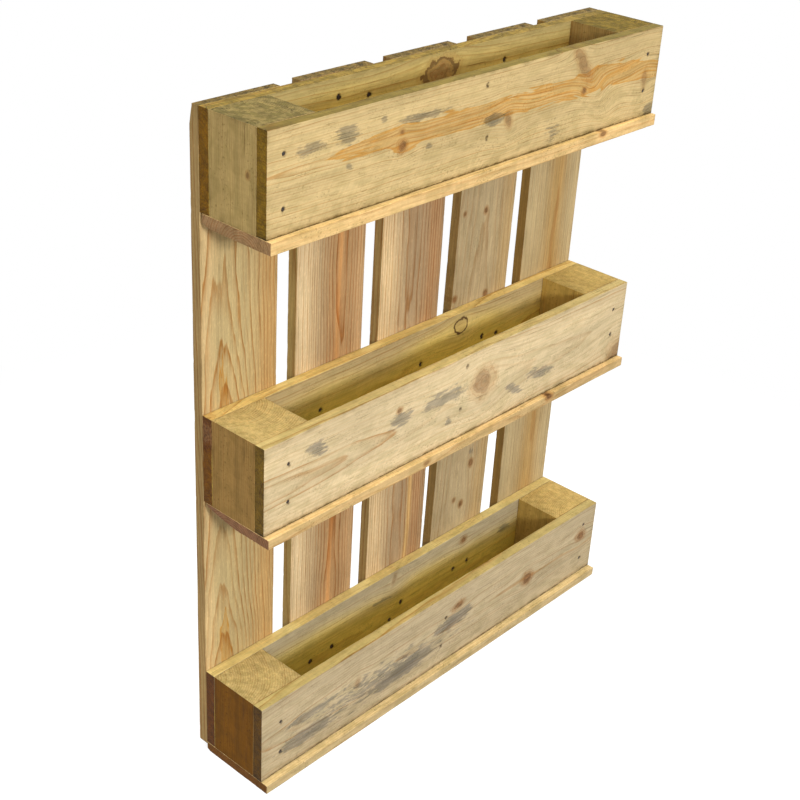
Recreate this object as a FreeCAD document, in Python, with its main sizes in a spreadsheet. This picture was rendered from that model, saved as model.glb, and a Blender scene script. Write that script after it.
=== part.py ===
import FreeCAD, Part
import os
import Sketcher

# A wall planter made from a pallet that was cut down and stood on its end.
# Five deck boards stand upright as the slats of the back. On them hang three boxes, one per tier:
# a back board, a block at each end, a front board, and a floor board whose front edge is a lip.
# Square-shank nails with eight-sided heads hold every joint. Millimetres, +Z up, the front faces
# -Y, and the origin is on the ground under the middle of the planter.

TIERS = ("bottom", "middle", "top")
SIDES = ("left", "right")
SLAT_COUNT = 5
LEANING_SLAT = 4
BEVELLED_SLAT = 1
HEAD_SIDES = 8

doc = FreeCAD.newDocument("pallet_planter")
sheet = doc.addObject("Spreadsheet::Sheet", "Dimensions")

# Driving dimensions: cell name, size, what it measures
SIZES = [
    ("planter_width", 800, "length of every cross board"),
    ("middle_tier_height", 427, "ground to the underside of the middle floor board"),
    ("top_tier_height", 843, "ground to the underside of the top floor board"),
    ("slat_width", 132, "width of a back slat"),
    ("slat_thickness", 17, "thickness of a back slat"),
    ("slat_foot_gap", 11, "ground to the foot of the slats"),
    ("slat_edge_radius", 1.0, "worn round on the long edges of a slat"),
    ("leaning_top_share", 0.17, "how far right the leaning slat's top stands, as a share of a gap"),
    ("leaning_foot_share", 0.4, "how far left the leaning slat's foot stands, as a share of a gap"),
    ("slat_bevel_depth", 4.5, "bevel behind the first slat's top, front to back"),
    ("slat_bevel_height", 27, "bevel behind the first slat's top, up and down"),
    ("board_height", 134, "height of the front and back boards and of the blocks"),
    ("back_board_thickness", 18, "thickness of a back board"),
    ("front_board_thickness", 18, "thickness of a front board"),
    ("board_edge_radius", 1.5, "worn round on the long edges of a board"),
    ("block_length", 94, "block, along the planter's width"),
    ("block_depth", 84, "block, front to back"),
    ("block_edge_radius", 2.0, "worn round on a block's upright edges"),
    ("bottom_floor_thickness", 15, "thickness of the floor board, bottom tier"),
    ("middle_floor_thickness", 15, "the same, middle tier"),
    ("top_floor_thickness", 17, "the same, top tier"),
    ("bottom_lip", 12, "floor board in front of the front board, bottom tier"),
    ("middle_lip", 10, "the same, middle tier"),
    ("top_lip", 8, "the same, top tier"),
    ("bottom_set_back", 0.5, "gap from the slats to the floor board, bottom tier"),
    ("middle_set_back", 7, "the same, middle tier"),
    ("top_set_back", 4, "the same, top tier"),
    ("bottom_left_wane", 8, "wane under the rear edge at the left end, bottom floor board"),
    ("bottom_right_wane", 6, "the same at the right end"),
    ("middle_left_wane", 58, "the same at the left end, middle floor board"),
    ("middle_right_wane", 20, "the same at the right end"),
    ("top_left_wane", 14, "the same at the left end, top floor board"),
    ("top_right_wane", 9, "the same at the right end"),
    ("log_radius", 220, "round of the log that the waney edges keep"),
    ("bottom_wane_rise", 3, "wane up the rear edge, bottom floor board"),
    ("middle_wane_rise", 11, "the same, middle floor board"),
    ("top_wane_rise", 5, "the same, top floor board"),
    ("nail_shank", 3.2, "side of a nail's square shank"),
    ("nail_head_width", 5.4, "nail head from flat to flat"),
    ("nail_head_thickness", 1.6, "nail head, top to underside"),
    ("nail_point", 4.0, "length of a nail's tapered point"),
    ("nail_point_taper", 15, "slope of the point, in degrees"),
    ("nail_sink", 1.0, "how far a nail head is driven below the wood"),
    ("nail_clearance", 0.1, "room round a nail in its hole"),
    ("front_nail_length", 70, "nail through a front board"),
    ("corner_nail_length", 88, "nail through an end slat and a back board"),
    ("slat_nail_length", 28, "nail through a back board into an inner slat"),
    ("floor_nail_length", 60, "nail up through a floor board"),
    ("corner_nail_inset", 60, "corner nail to the end of the planter"),
    ("corner_nail_low", 47, "lower corner nail above the foot of its box"),
    ("corner_nail_high", 47, "upper corner nail below the top of its box"),
    ("floor_nail_inset", 78, "floor nail to the end of the planter"),
    ("floor_nail_spread", 22, "floor nail to the middle of its block, front to back"),
    ("old_hole_diameter", 4.0, "open hole left by a drawn nail of the old middle block"),
]

# Front nails were driven by hand: distance from the board's end, lower nail above the board's
# foot, upper nail below its top
FRONT_NAILS = {
    ("bottom", "left"): (38, 35, 43),
    ("bottom", "right"): (32, 30, 33),
    ("middle", "left"): (44, 37, 39),
    ("middle", "right"): (30, 49, 41),
    ("top", "left"): (27, 33, 33),
    ("top", "right"): (31, 40, 38),
}
for (tier, side), places in FRONT_NAILS.items():
    for word, place in zip(("inset", "low", "high"), places):
        note = f"front nail, {tier} box, {side} end: {word}"
        SIZES.append((f"{tier}_{side}_nail_{word}", place, note))

# So were the nails into the inner slats: left nail left of its slat's middle and below the box's
# top, right nail right of the middle and below the top
SLAT_NAILS = {
    ("bottom", 2): (37, 81, 10, 77),
    ("bottom", 3): (22, 95, 4, 71),
    ("bottom", 4): (31, 69, 5, 68),
    ("middle", 2): (31, 60, 17, 74),
    ("middle", 3): (16, 74, 14, 59),
    ("middle", 4): (9, 58, 27, 64),
    ("top", 2): (15, 26, 41, 34),
    ("top", 3): (16, 46, 28, 44),
    ("top", 4): (13, 34, 23, 42),
}
for (tier, slat), places in SLAT_NAILS.items():
    for word, place in zip(("left_across", "left_down", "right_across", "right_down"), places):
        note = f"nail into slat {slat}, {tier} box: {word.replace('_', ' nail ')}"
        SIZES.append((f"{tier}_slat_{slat}_{word}", place, note))

# The open holes of the old pallet: upper hole left of the front board's middle and below its top,
# lower hole left of the middle and above the foot
OLD_HOLES = {
    "bottom": (1, 45, 8.5, 36),
    "middle": (0.5, 18, 9, 48),
    "top": (8.5, 17, 1, 43),
}
for tier, places in OLD_HOLES.items():
    for word, place in zip(("upper_left", "upper_down", "lower_left", "lower_up"), places):
        note = f"old hole, {tier} front board: {word.replace('_', ' hole ')}"
        SIZES.append((f"{tier}_hole_{word}", place, note))

for row, (alias, size, note) in enumerate(SIZES, start=1):
    sheet.set(f"A{row}", note)
    sheet.set(f"B{row}", str(size))
    sheet.setAlias(f"B{row}", alias)
doc.recompute()


def dim(alias):
    """The expression that reads one driving dimension."""
    return f"Dimensions.{alias}"


def number(expression):
    """The present value of an expression of driving dimensions."""
    return float(sheet.evalExpression(expression))


# Places shared by the pieces, as expressions of the driving dimensions
WIDTH = dim("planter_width")
LEFT_END = f"(-{WIDTH} / 2)"
SLAT_PITCH = f"(({WIDTH} - {dim('slat_width')}) / {SLAT_COUNT - 1})"
SLAT_GAP = f"({SLAT_PITCH} - {dim('slat_width')})"
BOX_DEPTH = f"({dim('back_board_thickness')} + {dim('block_depth')} + {dim('front_board_thickness')})"
REAR_FACE = f"(({dim('slat_thickness')} + {BOX_DEPTH} + {dim('bottom_lip')}) / 2)"
SLAT_FRONT = f"({REAR_FACE} - {dim('slat_thickness')})"
BOARD_FRONT = f"({SLAT_FRONT} - {dim('back_board_thickness')})"
BLOCK_FRONT = f"({BOARD_FRONT} - {dim('block_depth')})"
FRONT_FACE = f"({BLOCK_FRONT} - {dim('front_board_thickness')})"
TIER_BASE = {
    "bottom": "0",
    "middle": dim("middle_tier_height"),
    "top": dim("top_tier_height"),
}
FLOOR_THICKNESS = {tier: dim(f"{tier}_floor_thickness") for tier in TIERS}
BOX_BASE = {tier: f"({TIER_BASE[tier]} + {FLOOR_THICKNESS[tier]})" for tier in TIERS}
SLAT_LENGTH = f"({BOX_BASE['top']} + {dim('board_height')} - {dim('slat_foot_gap')})"

# Nail holes are the nail's own size with the clearance all round and at the point
HOLE_SIDE = f"({dim('nail_shank')} + 2 * {dim('nail_clearance')})"
HEAD_HOLE = f"({dim('nail_head_width')} + 2 * {dim('nail_clearance')})"
HEAD_SEAT = f"({dim('nail_sink')} + {dim('nail_head_thickness')})"


def hole_depth(nail_length, wood_passed):
    """How deep a nail's hole goes into the last piece, after the wood that it has passed."""
    reach = f"{dim('nail_sink')} + {nail_length} + {dim('nail_clearance')}"
    return f"({reach} - {wood_passed})"


def new_body(label, across, back, up):
    """An empty sub-part whose own origin is placed at three expressions."""
    body = doc.addObject("PartDesign::Body", label)
    body.Label = label
    for axis, place in zip("xyz", (across, back, up)):
        body.setExpression(f"Placement.Base.{axis}", place)
    return body


def new_sketch(body, name, plane, offset=None):
    """A sketch on one of the body's own origin planes, or at an offset along its normal."""
    sketch = body.newObject("Sketcher::SketchObject", f"{body.Label}_{name}")
    support = next(item for item in body.Origin.OriginFeatures if item.Role == plane)
    sketch.AttachmentSupport = [(support, "")]
    sketch.MapMode = "FlatFace"
    if offset:
        sketch.setExpression("AttachmentOffset.Base.z", offset)
    return sketch


def add_constraints(sketch, rules):
    """Add constraints in one go. Each rule is a constraint and the expression that drives it."""
    indices = sketch.addConstraint([constraint for constraint, driver in rules])
    for index, (constraint, driver) in zip(indices, rules):
        if driver:
            sketch.setExpression(f"Constraints[{index}]", driver)


def hold_point(geometry, vertex, across, up):
    """The rules that dimension a point from the sketch's origin by two expressions."""
    rules = []
    for kind, place in (("DistanceX", across), ("DistanceY", up)):
        rules.append((Sketcher.Constraint(kind, -1, 1, geometry, vertex, number(place)), place))
    return rules


def join_lines(first, second):
    """The rule that starts one line where another ends."""
    return (Sketcher.Constraint("Coincident", first, 2, second, 1), None)


def point_at(place):
    """A sketch point from a pair of expressions."""
    across, up = place
    return FreeCAD.Vector(number(across), number(up), 0)


def draw_outlines(sketch, outlines):
    """Closed straight outlines, each a list of corners given as pairs of expressions."""
    rules = []
    for corners in outlines:
        points = [point_at(corner) for corner in corners]
        sides = zip(points, points[1:] + points[:1])
        lines = sketch.addGeometry([Part.LineSegment(start, end) for start, end in sides])
        rules += [join_lines(line, following) for line, following in zip(lines, lines[1:] + lines[:1])]
        for line, (across, up) in zip(lines, corners):
            rules += hold_point(line, 1, across, up)
    add_constraints(sketch, rules)


def draw_rectangle(sketch, across, up):
    """A rectangle from the sketch's origin to the point (across, up)."""
    draw_outlines(sketch, [[("0", "0"), (across, "0"), (across, up), ("0", up)]])


def draw_squares(sketch, places, side):
    """One square centred on each place."""
    half = f"{side} / 2"
    outlines = []
    for across, up in places:
        left, right = f"{across} - {half}", f"{across} + {half}"
        low, high = f"{up} - {half}", f"{up} + {half}"
        outlines.append([(left, low), (right, low), (right, high), (left, high)])
    draw_outlines(sketch, outlines)


def draw_heads(sketch, places, width):
    """One regular polygon, with the sides of a nail head, centred on each place."""
    step = 360 / HEAD_SIDES
    reach = f"{width} / 2 / cos({step / 2} deg)"
    outlines = []
    for across, up in places:
        corners = []
        for corner in range(HEAD_SIDES):
            turn = f"{step * (corner + 0.5)} deg"
            corners.append((f"{across} + {reach} * cos({turn})", f"{up} + {reach} * sin({turn})"))
        outlines.append(corners)
    draw_outlines(sketch, outlines)


def draw_circles(sketch, places, diameter):
    """One circle centred on each place."""
    normal = FreeCAD.Vector(0, 0, 1)
    rules = []
    for place in places:
        circle = sketch.addGeometry(Part.Circle(point_at(place), normal, number(diameter) / 2))
        rules += hold_point(circle, 3, *place)
        rules.append((Sketcher.Constraint("Diameter", circle, number(diameter)), diameter))
    add_constraints(sketch, rules)


def add_pad(body, name, sketch, length, backwards=False):
    """Thicken a sketch along its normal, or backwards against it."""
    pad = body.newObject("PartDesign::Pad", f"{body.Label}_{name}")
    pad.Profile = sketch
    pad.Reversed = backwards
    pad.setExpression("Length", length)
    return pad


def add_pocket(body, name, sketch, depth, along_normal):
    """Cut a sketch into the body, along the sketch's normal or against it."""
    pocket = body.newObject("PartDesign::Pocket", f"{body.Label}_{name}")
    pocket.Profile = sketch
    pocket.Reversed = along_normal
    pocket.setExpression("Length", depth)
    return pocket


def ease_edges(body, base, axis, radius, keep):
    """Round the straight edges of the base that run its length along an axis and that keep picks."""
    doc.recompute()
    extent = {"x": "XLength", "z": "ZLength"}[axis]
    full = getattr(base.Shape.BoundBox, extent)
    names = []
    for index, edge in enumerate(base.Shape.Edges, start=1):
        runs_full_length = abs(getattr(edge.BoundBox, extent) - full) < 1e-4
        if runs_full_length and keep(edge.CenterOfMass):
            names.append(f"Edge{index}")
    fillet = body.newObject("PartDesign::Fillet", f"{body.Label}_eased_edges")
    fillet.Base = (base, names)
    fillet.setExpression("Radius", radius)


def every_edge(point):
    """Picks every edge."""
    return True


def drill_head_and_shank(body, plane, offset, places, depth, along_normal):
    """Holes for nails whose heads are sunk in this piece: a seat for the head and a square hole."""
    seats = new_sketch(body, "head_seats", plane, offset)
    draw_heads(seats, places, HEAD_HOLE)
    add_pocket(body, "seat_pocket", seats, HEAD_SEAT, along_normal)
    shanks = new_sketch(body, "shank_holes", plane, offset)
    draw_squares(shanks, places, HOLE_SIDE)
    add_pocket(body, "shank_pocket", shanks, depth, along_normal)


def drill_shank(body, name, plane, offset, places, depth, along_normal):
    """Square holes for the shanks of nails whose heads are in another piece."""
    sketch = new_sketch(body, f"{name}_holes", plane, offset)
    draw_squares(sketch, places, HOLE_SIDE)
    add_pocket(body, f"{name}_pocket", sketch, depth, along_normal)


def from_end(side, inset, length):
    """A place measured from the left or the right end of a piece of the given length."""
    return inset if side == "left" else f"({length} - {inset})"


def low_and_high(name):
    """Two heights above a box's foot: one measured from the foot, one from the top."""
    return [dim(f"{name}_low"), f"({dim('board_height')} - {dim(f'{name}_high')})"]


def front_nail_places(tier, side, length):
    """The two front nails at one end, across a piece of the given length and up from its foot."""
    inset = from_end(side, dim(f"{tier}_{side}_nail_inset"), length)
    return [(inset, height) for height in low_and_high(f"{tier}_{side}_nail")]


def corner_nail_places(side, length):
    """The two corner nails at one end, across a piece of the given length and up from its foot."""
    inset = from_end(side, dim("corner_nail_inset"), length)
    return [(inset, height) for height in low_and_high("corner_nail")]


def slat_nail_places(tier, slat):
    """The two nails of a box into one inner slat, across the upright slat and up from the box."""
    places = []
    for side, sign in zip(SIDES, ("-", "+")):
        name = f"{tier}_slat_{slat}_{side}"
        across = f"({dim('slat_width')} / 2 {sign} {dim(f'{name}_across')})"
        places.append((across, f"({dim('board_height')} - {dim(f'{name}_down')})"))
    return places


def inner_slat_nail_places(tier):
    """The nails of a back board into the three inner slats, along the board and up from its foot."""
    places = []
    for slat in range(2, SLAT_COUNT):
        left = f"{slat - 1} * {SLAT_PITCH}"
        places += [(f"({left} + {across})", up) for across, up in slat_nail_places(tier, slat)]
    return places


def old_hole_places(tier):
    """The two open holes of a front board, along the board and up from its foot."""
    name = f"{tier}_hole"
    upper_along, lower_along = (
        f"({WIDTH} / 2 - {dim(f'{name}_{place}_left')})" for place in ("upper", "lower")
    )
    upper_height = f"({dim('board_height')} - {dim(f'{name}_upper_down')})"
    return [(upper_along, upper_height), (lower_along, dim(f"{name}_lower_up"))]


def floor_nail_places(side, length, block_middle):
    """The two floor nails at one end, across a piece and back from its own front edge."""
    inset = from_end(side, dim("floor_nail_inset"), length)
    return [(inset, f"({block_middle} {sign} {dim('floor_nail_spread')})") for sign in ("-", "+")]


def both_ends(places_at):
    """The places at the left end and then at the right end."""
    return [place for side in SIDES for place in places_at(side)]


def build_back_slat(number_from_left):
    """An upright deck board, with nail holes where each tier crosses it."""
    step = number_from_left - 1
    foot_shift = lean = "0"
    if number_from_left == LEANING_SLAT:
        foot_shift = f"({dim('leaning_foot_share')} * {SLAT_GAP})"
        lean = f"({foot_shift} + {dim('leaning_top_share')} * {SLAT_GAP})"
    foot_left = f"({LEFT_END} + {step} * {SLAT_PITCH} - {foot_shift})"
    body = new_body(f"back_slat_{number_from_left}", foot_left, REAR_FACE, dim("slat_foot_gap"))
    width = dim("slat_width")
    face = new_sketch(body, "face", "XZ_Plane")
    top_right = (f"({width} + {lean})", SLAT_LENGTH)
    draw_outlines(face, [[("0", "0"), (width, "0"), top_right, (lean, SLAT_LENGTH)]])
    plank = add_pad(body, "plank", face, dim("slat_thickness"))
    ease_edges(body, plank, "z", dim("slat_edge_radius"), every_edge)

    if number_from_left == BEVELLED_SLAT:
        bevel = new_sketch(body, "bevel", "YZ_Plane")
        depth, height = dim("slat_bevel_depth"), dim("slat_bevel_height")
        foot = f"({SLAT_LENGTH} - {height})"
        draw_outlines(bevel, [[(f"(-{depth})", SLAT_LENGTH), ("0", foot), ("0", SLAT_LENGTH)]])
        add_pocket(body, "bevel_cut", bevel, width, along_normal=True)

    def up_from_foot(tier, height):
        return f"({BOX_BASE[tier]} + {height} - {dim('slat_foot_gap')})"

    if number_from_left in (1, SLAT_COUNT):
        side = "left" if number_from_left == 1 else "right"
        corner = corner_nail_places(side, width)
        places = [(across, up_from_foot(tier, up)) for tier in TIERS for across, up in corner]
        drill_head_and_shank(body, "XZ_Plane", None, places, dim("slat_thickness"), True)
    else:
        places = []
        for tier in TIERS:
            for across, up in slat_nail_places(tier, number_from_left):
                places.append((f"({across} + {foot_shift})", up_from_foot(tier, up)))
        depth = hole_depth(dim("slat_nail_length"), dim("back_board_thickness"))
        drill_shank(body, "slat_nail", "XZ_Plane", dim("slat_thickness"), places, depth, False)
    return body


def build_back_board(tier):
    """The board of a box that lies against the slats."""
    body = new_body(f"{tier}_back_board", LEFT_END, SLAT_FRONT, BOX_BASE[tier])
    thickness = dim("back_board_thickness")
    face = new_sketch(body, "face", "XZ_Plane")
    draw_rectangle(face, WIDTH, dim("board_height"))
    plank = add_pad(body, "plank", face, thickness)
    ease_edges(body, plank, "x", dim("board_edge_radius"), every_edge)
    nails = inner_slat_nail_places(tier)
    drill_head_and_shank(body, "XZ_Plane", thickness, nails, thickness, False)
    corners = both_ends(lambda side: corner_nail_places(side, WIDTH))
    drill_shank(body, "corner_nail", "XZ_Plane", None, corners, thickness, True)
    return body


def build_front_board(tier):
    """The face of a box, with two open holes where the old pallet's middle block was nailed."""
    body = new_body(f"{tier}_front_board", LEFT_END, BLOCK_FRONT, BOX_BASE[tier])
    thickness = dim("front_board_thickness")
    face = new_sketch(body, "face", "XZ_Plane")
    draw_rectangle(face, WIDTH, dim("board_height"))
    plank = add_pad(body, "plank", face, thickness)
    ease_edges(body, plank, "x", dim("board_edge_radius"), every_edge)
    nails = both_ends(lambda side: front_nail_places(tier, side, WIDTH))
    drill_head_and_shank(body, "XZ_Plane", thickness, nails, thickness, False)
    old_holes = new_sketch(body, "old_holes", "XZ_Plane", thickness)
    draw_circles(old_holes, old_hole_places(tier), dim("old_hole_diameter"))
    add_pocket(body, "old_hole_pocket", old_holes, thickness, along_normal=False)
    return body


def build_block(tier, side):
    """An end block with upright grain, held by nails from the front, from behind and from below."""
    length, depth = dim("block_length"), dim("block_depth")
    left = from_end(side, "0", f"({WIDTH} - {length})")
    body = new_body(f"{tier}_{side}_block", f"({LEFT_END} + {left})", BLOCK_FRONT, BOX_BASE[tier])
    footprint = new_sketch(body, "footprint", "XY_Plane")
    draw_rectangle(footprint, length, depth)
    billet = add_pad(body, "billet", footprint, dim("board_height"))
    ease_edges(body, billet, "z", dim("block_edge_radius"), every_edge)
    front_depth = hole_depth(dim("front_nail_length"), dim("front_board_thickness"))
    front = front_nail_places(tier, side, length)
    drill_shank(body, "front_nail", "XZ_Plane", None, front, front_depth, False)
    passed = f"{dim('slat_thickness')} - {dim('back_board_thickness')}"
    corner_depth = hole_depth(dim("corner_nail_length"), passed)
    corner = corner_nail_places(side, length)
    drill_shank(body, "corner_nail", "XZ_Plane", f"(-{depth})", corner, corner_depth, True)
    floor_depth = hole_depth(dim("floor_nail_length"), FLOOR_THICKNESS[tier])
    floor = floor_nail_places(side, length, f"{depth} / 2")
    drill_shank(body, "floor_nail", "XY_Plane", None, floor, floor_depth, True)
    return body


def draw_wane(sketch, depth, run, rise, clear):
    """The wood missing at one end under the rear edge, where the board kept the round of the log.

    An arc of the log's radius climbs from the underside, run short of the rear edge, to the rear
    edge at the given rise. The rest of the outline passes clear of the board, below and behind it.
    """
    touch = (f"({depth} - {run})", "0")
    corners = [(depth, rise), (f"({depth} + {clear})", rise)]
    corners += [(f"({depth} + {clear})", f"(-{clear})"), (touch[0], f"(-{clear})"), touch]
    points = [point_at(corner) for corner in corners]
    sides = zip(points, points[1:])
    lines = sketch.addGeometry([Part.LineSegment(start, end) for start, end in sides])
    chord = points[0] - points[-1]
    radius = number(dim("log_radius"))
    outward = FreeCAD.Vector(chord.y, -chord.x, 0).normalize()
    sag = radius - (radius**2 - (chord.Length / 2) ** 2) ** 0.5
    crown = (points[0] + points[-1]) / 2 + outward * sag
    arc = sketch.addGeometry(Part.Arc(points[-1], crown, points[0]))
    rules = [join_lines(line, following) for line, following in zip(lines, lines[1:])]
    for line, corner in zip(lines, corners):
        rules += hold_point(line, 1, *corner)
    rules += hold_point(lines[-1], 2, *touch)
    rules.append((Sketcher.Constraint("Coincident", lines[-1], 2, arc, 1), None))
    rules.append((Sketcher.Constraint("Coincident", lines[0], 1, arc, 2), None))
    rules.append((Sketcher.Constraint("Radius", arc, radius), dim("log_radius")))
    add_constraints(sketch, rules)


def build_floor_board(tier):
    """The board under a box, with a lip in front and a waney edge that tapers along its rear."""
    lip = dim(f"{tier}_lip")
    depth = f"({BOX_DEPTH} + {lip} - {dim(f'{tier}_set_back')})"
    thickness = FLOOR_THICKNESS[tier]
    body = new_body(f"{tier}_floor_board", LEFT_END, f"({FRONT_FACE} - {lip})", TIER_BASE[tier])
    section = new_sketch(body, "section", "YZ_Plane")
    draw_rectangle(section, depth, thickness)
    plank = add_pad(body, "plank", section, WIDTH)
    board_middle = FreeCAD.Vector(0, number(depth) / 2, number(thickness) / 2)

    def square_edges(point):
        """Every long edge but the lower rear one, which is the waney one."""
        return point.y < board_middle.y or point.z > board_middle.z

    ease_edges(body, plank, "x", dim("board_edge_radius"), square_edges)
    ends = []
    for side, offset in (("left", None), ("right", WIDTH)):
        end = new_sketch(body, f"{side}_wane", "YZ_Plane", offset)
        draw_wane(end, depth, dim(f"{tier}_{side}_wane"), dim(f"{tier}_wane_rise"), thickness)
        ends.append(end)
    wane = body.newObject("PartDesign::SubtractiveLoft", f"{body.Label}_waney_edge")
    wane.Profile = ends[0]
    wane.Sections = ends[1:]
    wane.Ruled = True
    block_middle = f"({lip} + {dim('front_board_thickness')} + {dim('block_depth')} / 2)"
    nails = both_ends(lambda side: floor_nail_places(side, WIDTH, block_middle))
    drill_head_and_shank(body, "XY_Plane", None, nails, thickness, True)
    return body


def build_nails(label, start, plane, places, length, backwards):
    """A group of square-shank nails that start from one plane: heads, shanks and tapered points."""
    body = new_body(label, LEFT_END, *start)
    body.AllowCompound = True
    heads = new_sketch(body, "heads", plane)
    draw_heads(heads, places, dim("nail_head_width"))
    add_pad(body, "head_pad", heads, dim("nail_head_thickness"), backwards)
    shanks = new_sketch(body, "shanks", plane)
    draw_squares(shanks, places, dim("nail_shank"))
    straight = f"({length} - {dim('nail_point')})"
    add_pad(body, "shank_pad", shanks, straight, backwards)
    points = new_sketch(body, "points", plane, f"(-{straight})" if backwards else straight)
    draw_squares(points, places, dim("nail_shank"))
    taper = add_pad(body, "point_pad", points, dim("nail_point"), backwards)
    taper.setExpression("TaperAngle", f"-{dim('nail_point_taper')}")
    return body


def build_tier_nails(tier):
    """The four groups of nails that hold one box together and to the slats."""
    foot = BOX_BASE[tier]
    sink = dim("nail_sink")
    front = both_ends(lambda side: front_nail_places(tier, side, WIDTH))
    corner = both_ends(lambda side: corner_nail_places(side, WIDTH))
    slat = inner_slat_nail_places(tier)
    block_middle = f"{dim('block_depth')} / 2"
    floor = both_ends(lambda side: floor_nail_places(side, WIDTH, block_middle))
    front_start = (f"({FRONT_FACE} + {sink})", foot)
    corner_start = (f"({REAR_FACE} - {sink})", foot)
    slat_start = (f"({BOARD_FRONT} + {sink})", foot)
    floor_start = (BLOCK_FRONT, f"({TIER_BASE[tier]} + {sink})")
    face = "XZ_Plane"
    return [
        build_nails(f"{tier}_front_nails", front_start, face, front, dim("front_nail_length"), True),
        build_nails(f"{tier}_corner_nails", corner_start, face, corner, dim("corner_nail_length"), False),
        build_nails(f"{tier}_slat_nails", slat_start, face, slat, dim("slat_nail_length"), True),
        build_nails(f"{tier}_floor_nails", floor_start, "XY_Plane", floor, dim("floor_nail_length"), False),
    ]


def build_planter():
    """Every piece of wood and every group of nails."""
    pieces = [build_back_slat(place) for place in range(1, SLAT_COUNT + 1)]
    for tier in TIERS:
        pieces += [build_back_board(tier), build_front_board(tier), build_floor_board(tier)]
        pieces += [build_block(tier, side) for side in SIDES]
        pieces += build_tier_nails(tier)
    return pieces


def check_document(pieces):
    """Stop if a feature failed, a cut took nothing away, or a piece has no sound shape."""
    for item in doc.Objects:
        if "Invalid" in item.State or "Error" in item.State:
            raise RuntimeError(f"{item.Label} failed: {item.State}")
        if item.TypeId in ("PartDesign::Pocket", "PartDesign::SubtractiveLoft"):
            removed = item.BaseFeature.Shape.Volume - item.Shape.Volume
            if removed < 1:
                raise RuntimeError(f"{item.Label} cuts nothing")
    for piece in pieces:
        if piece.Shape.isNull() or not piece.Shape.isValid():
            raise RuntimeError(f"{piece.Label} has no valid shape")


parts = build_planter()
doc.recompute()
check_document(parts)
os.makedirs("parts", exist_ok=True)
for part in parts:
    part.Shape.exportStep(f"parts/{part.Label}.step")
    print(part.Label, len(part.Shape.Solids), round(part.Shape.Volume, 1))
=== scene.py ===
"""Pallet planter: three nailed pine troughs on five upright slats.

Every wooden CAD node is replaced by a board worked out with numpy, and every group of nails by
sunk steel heads on shanks. All lengths in the code are millimetres until a mesh is written.
"""

import math
from dataclasses import dataclass
from functools import partial

import bpy
import numpy as np
from bpy.props import FloatProperty, FloatVectorProperty, PointerProperty
from mathutils import Matrix, Vector


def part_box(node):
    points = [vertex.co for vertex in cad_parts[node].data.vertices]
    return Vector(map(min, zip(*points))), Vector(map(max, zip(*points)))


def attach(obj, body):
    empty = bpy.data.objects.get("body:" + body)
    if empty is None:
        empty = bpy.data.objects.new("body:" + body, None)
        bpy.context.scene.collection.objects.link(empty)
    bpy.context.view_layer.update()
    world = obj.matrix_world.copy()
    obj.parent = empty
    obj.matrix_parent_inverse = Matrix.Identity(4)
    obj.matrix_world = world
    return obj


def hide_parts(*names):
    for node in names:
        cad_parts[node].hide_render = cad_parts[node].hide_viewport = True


bl_info = {
    "name": "Pallet Planter",
    "version": (1, 0, 0),
    "blender": (4, 5, 0),
    "location": "3D View > Sidebar > Planter",
    "description": "Dresses the planter's frame in reclaimed pine boards and sunk nails",
    "category": "Object",
}

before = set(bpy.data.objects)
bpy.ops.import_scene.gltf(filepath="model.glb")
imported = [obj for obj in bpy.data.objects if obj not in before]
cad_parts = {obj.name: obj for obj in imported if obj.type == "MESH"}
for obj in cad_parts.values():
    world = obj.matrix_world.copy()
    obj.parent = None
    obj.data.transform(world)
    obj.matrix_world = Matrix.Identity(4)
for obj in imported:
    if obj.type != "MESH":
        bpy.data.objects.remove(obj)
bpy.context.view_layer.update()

MM = 0.001
IMAGE_WIDTH = 800
SENSOR_WIDTH = 36.0
TIERS = ("bottom", "middle", "top")
THROUGH = 1000.0

# distances from a long edge at which the lattice gets a line, for the worn arris
EDGE_LINES = np.array([0.0, 0.35, 0.9, 1.6, 2.8])
# distances from a nail's axis at which the lattice gets a line, for its seat
SEAT_LINES = np.array([0.0, 0.8, 1.5, 2.1, 2.6, 3.1, 3.8])
LEAST_LINE_GAP = 0.3
# lattice steps along the grain are longer, and cut ends keep a sharper arris
ALONG_STEP = 1.3
END_ARRIS = 0.45

NOISE_VALUES = 8192
NOISE_HASH = (73856093, 19349663, 83492791)
# each use of noise on a timber adds its own number to the timber's seed
SWAY, WAVER, VALUE, WEAR, CHIP, SWELL, RIDGE, GRIME = range(1, 9)
STREAK = 10

# how far the rings sway and waver, and the slow swing of the wood's value
SWAY_REACH = 2.4
WAVER_REACH = 0.7
VALUE_SWING = 0.10

# depths of what wear has taken off: chips along the arris, slow unevenness, ridges of the fibres;
# the arris radius swings by a share of itself, and knots wear less by a share
CHIP_DEPTH = 0.8
SWELL_DEPTH = 0.13
RIDGE_DEPTH = 0.07
ARRIS_SWING = 0.5
KNOT_HARDNESS = 0.2
# a nail's seat: width of its sloping wall, and depth and width, in seat radii, of the dish round it
SEAT_WALL = 0.9
DISH_DEPTH = 0.35
DISH_WIDTH = 2.2
# how far iron blackens the wood round a nail, and further off along and across the grain
IRON_ROUND = 3.4
IRON_ALONG = 7.0
IRON_ACROSS = 5.0
# how far grime creeps in from an edge, and how far the grime and painted shade at a board's foot
# reach up
GRIME_REACH = 3.2
FOOT_REACH = 2.0
# a lattice point this near to a face lies on it
ON_FACE = 0.01

# how the fibres part round a knot: reach along, across and in depth in the knot's own sizes, and
# the share by which the distance across shrinks
PART_ALONG = 1.9
PART_ACROSS = 1.7
PART_DEEP = 2.0
PART_SHARE = 0.6
# distance that stands for no knot, and the length over which a streak fades in and out
KNOT_FAR = 3.0
BAND_FADE = 60.0
# where a stain has gone, in its own half sizes
STAIN_END = 1.2


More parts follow.
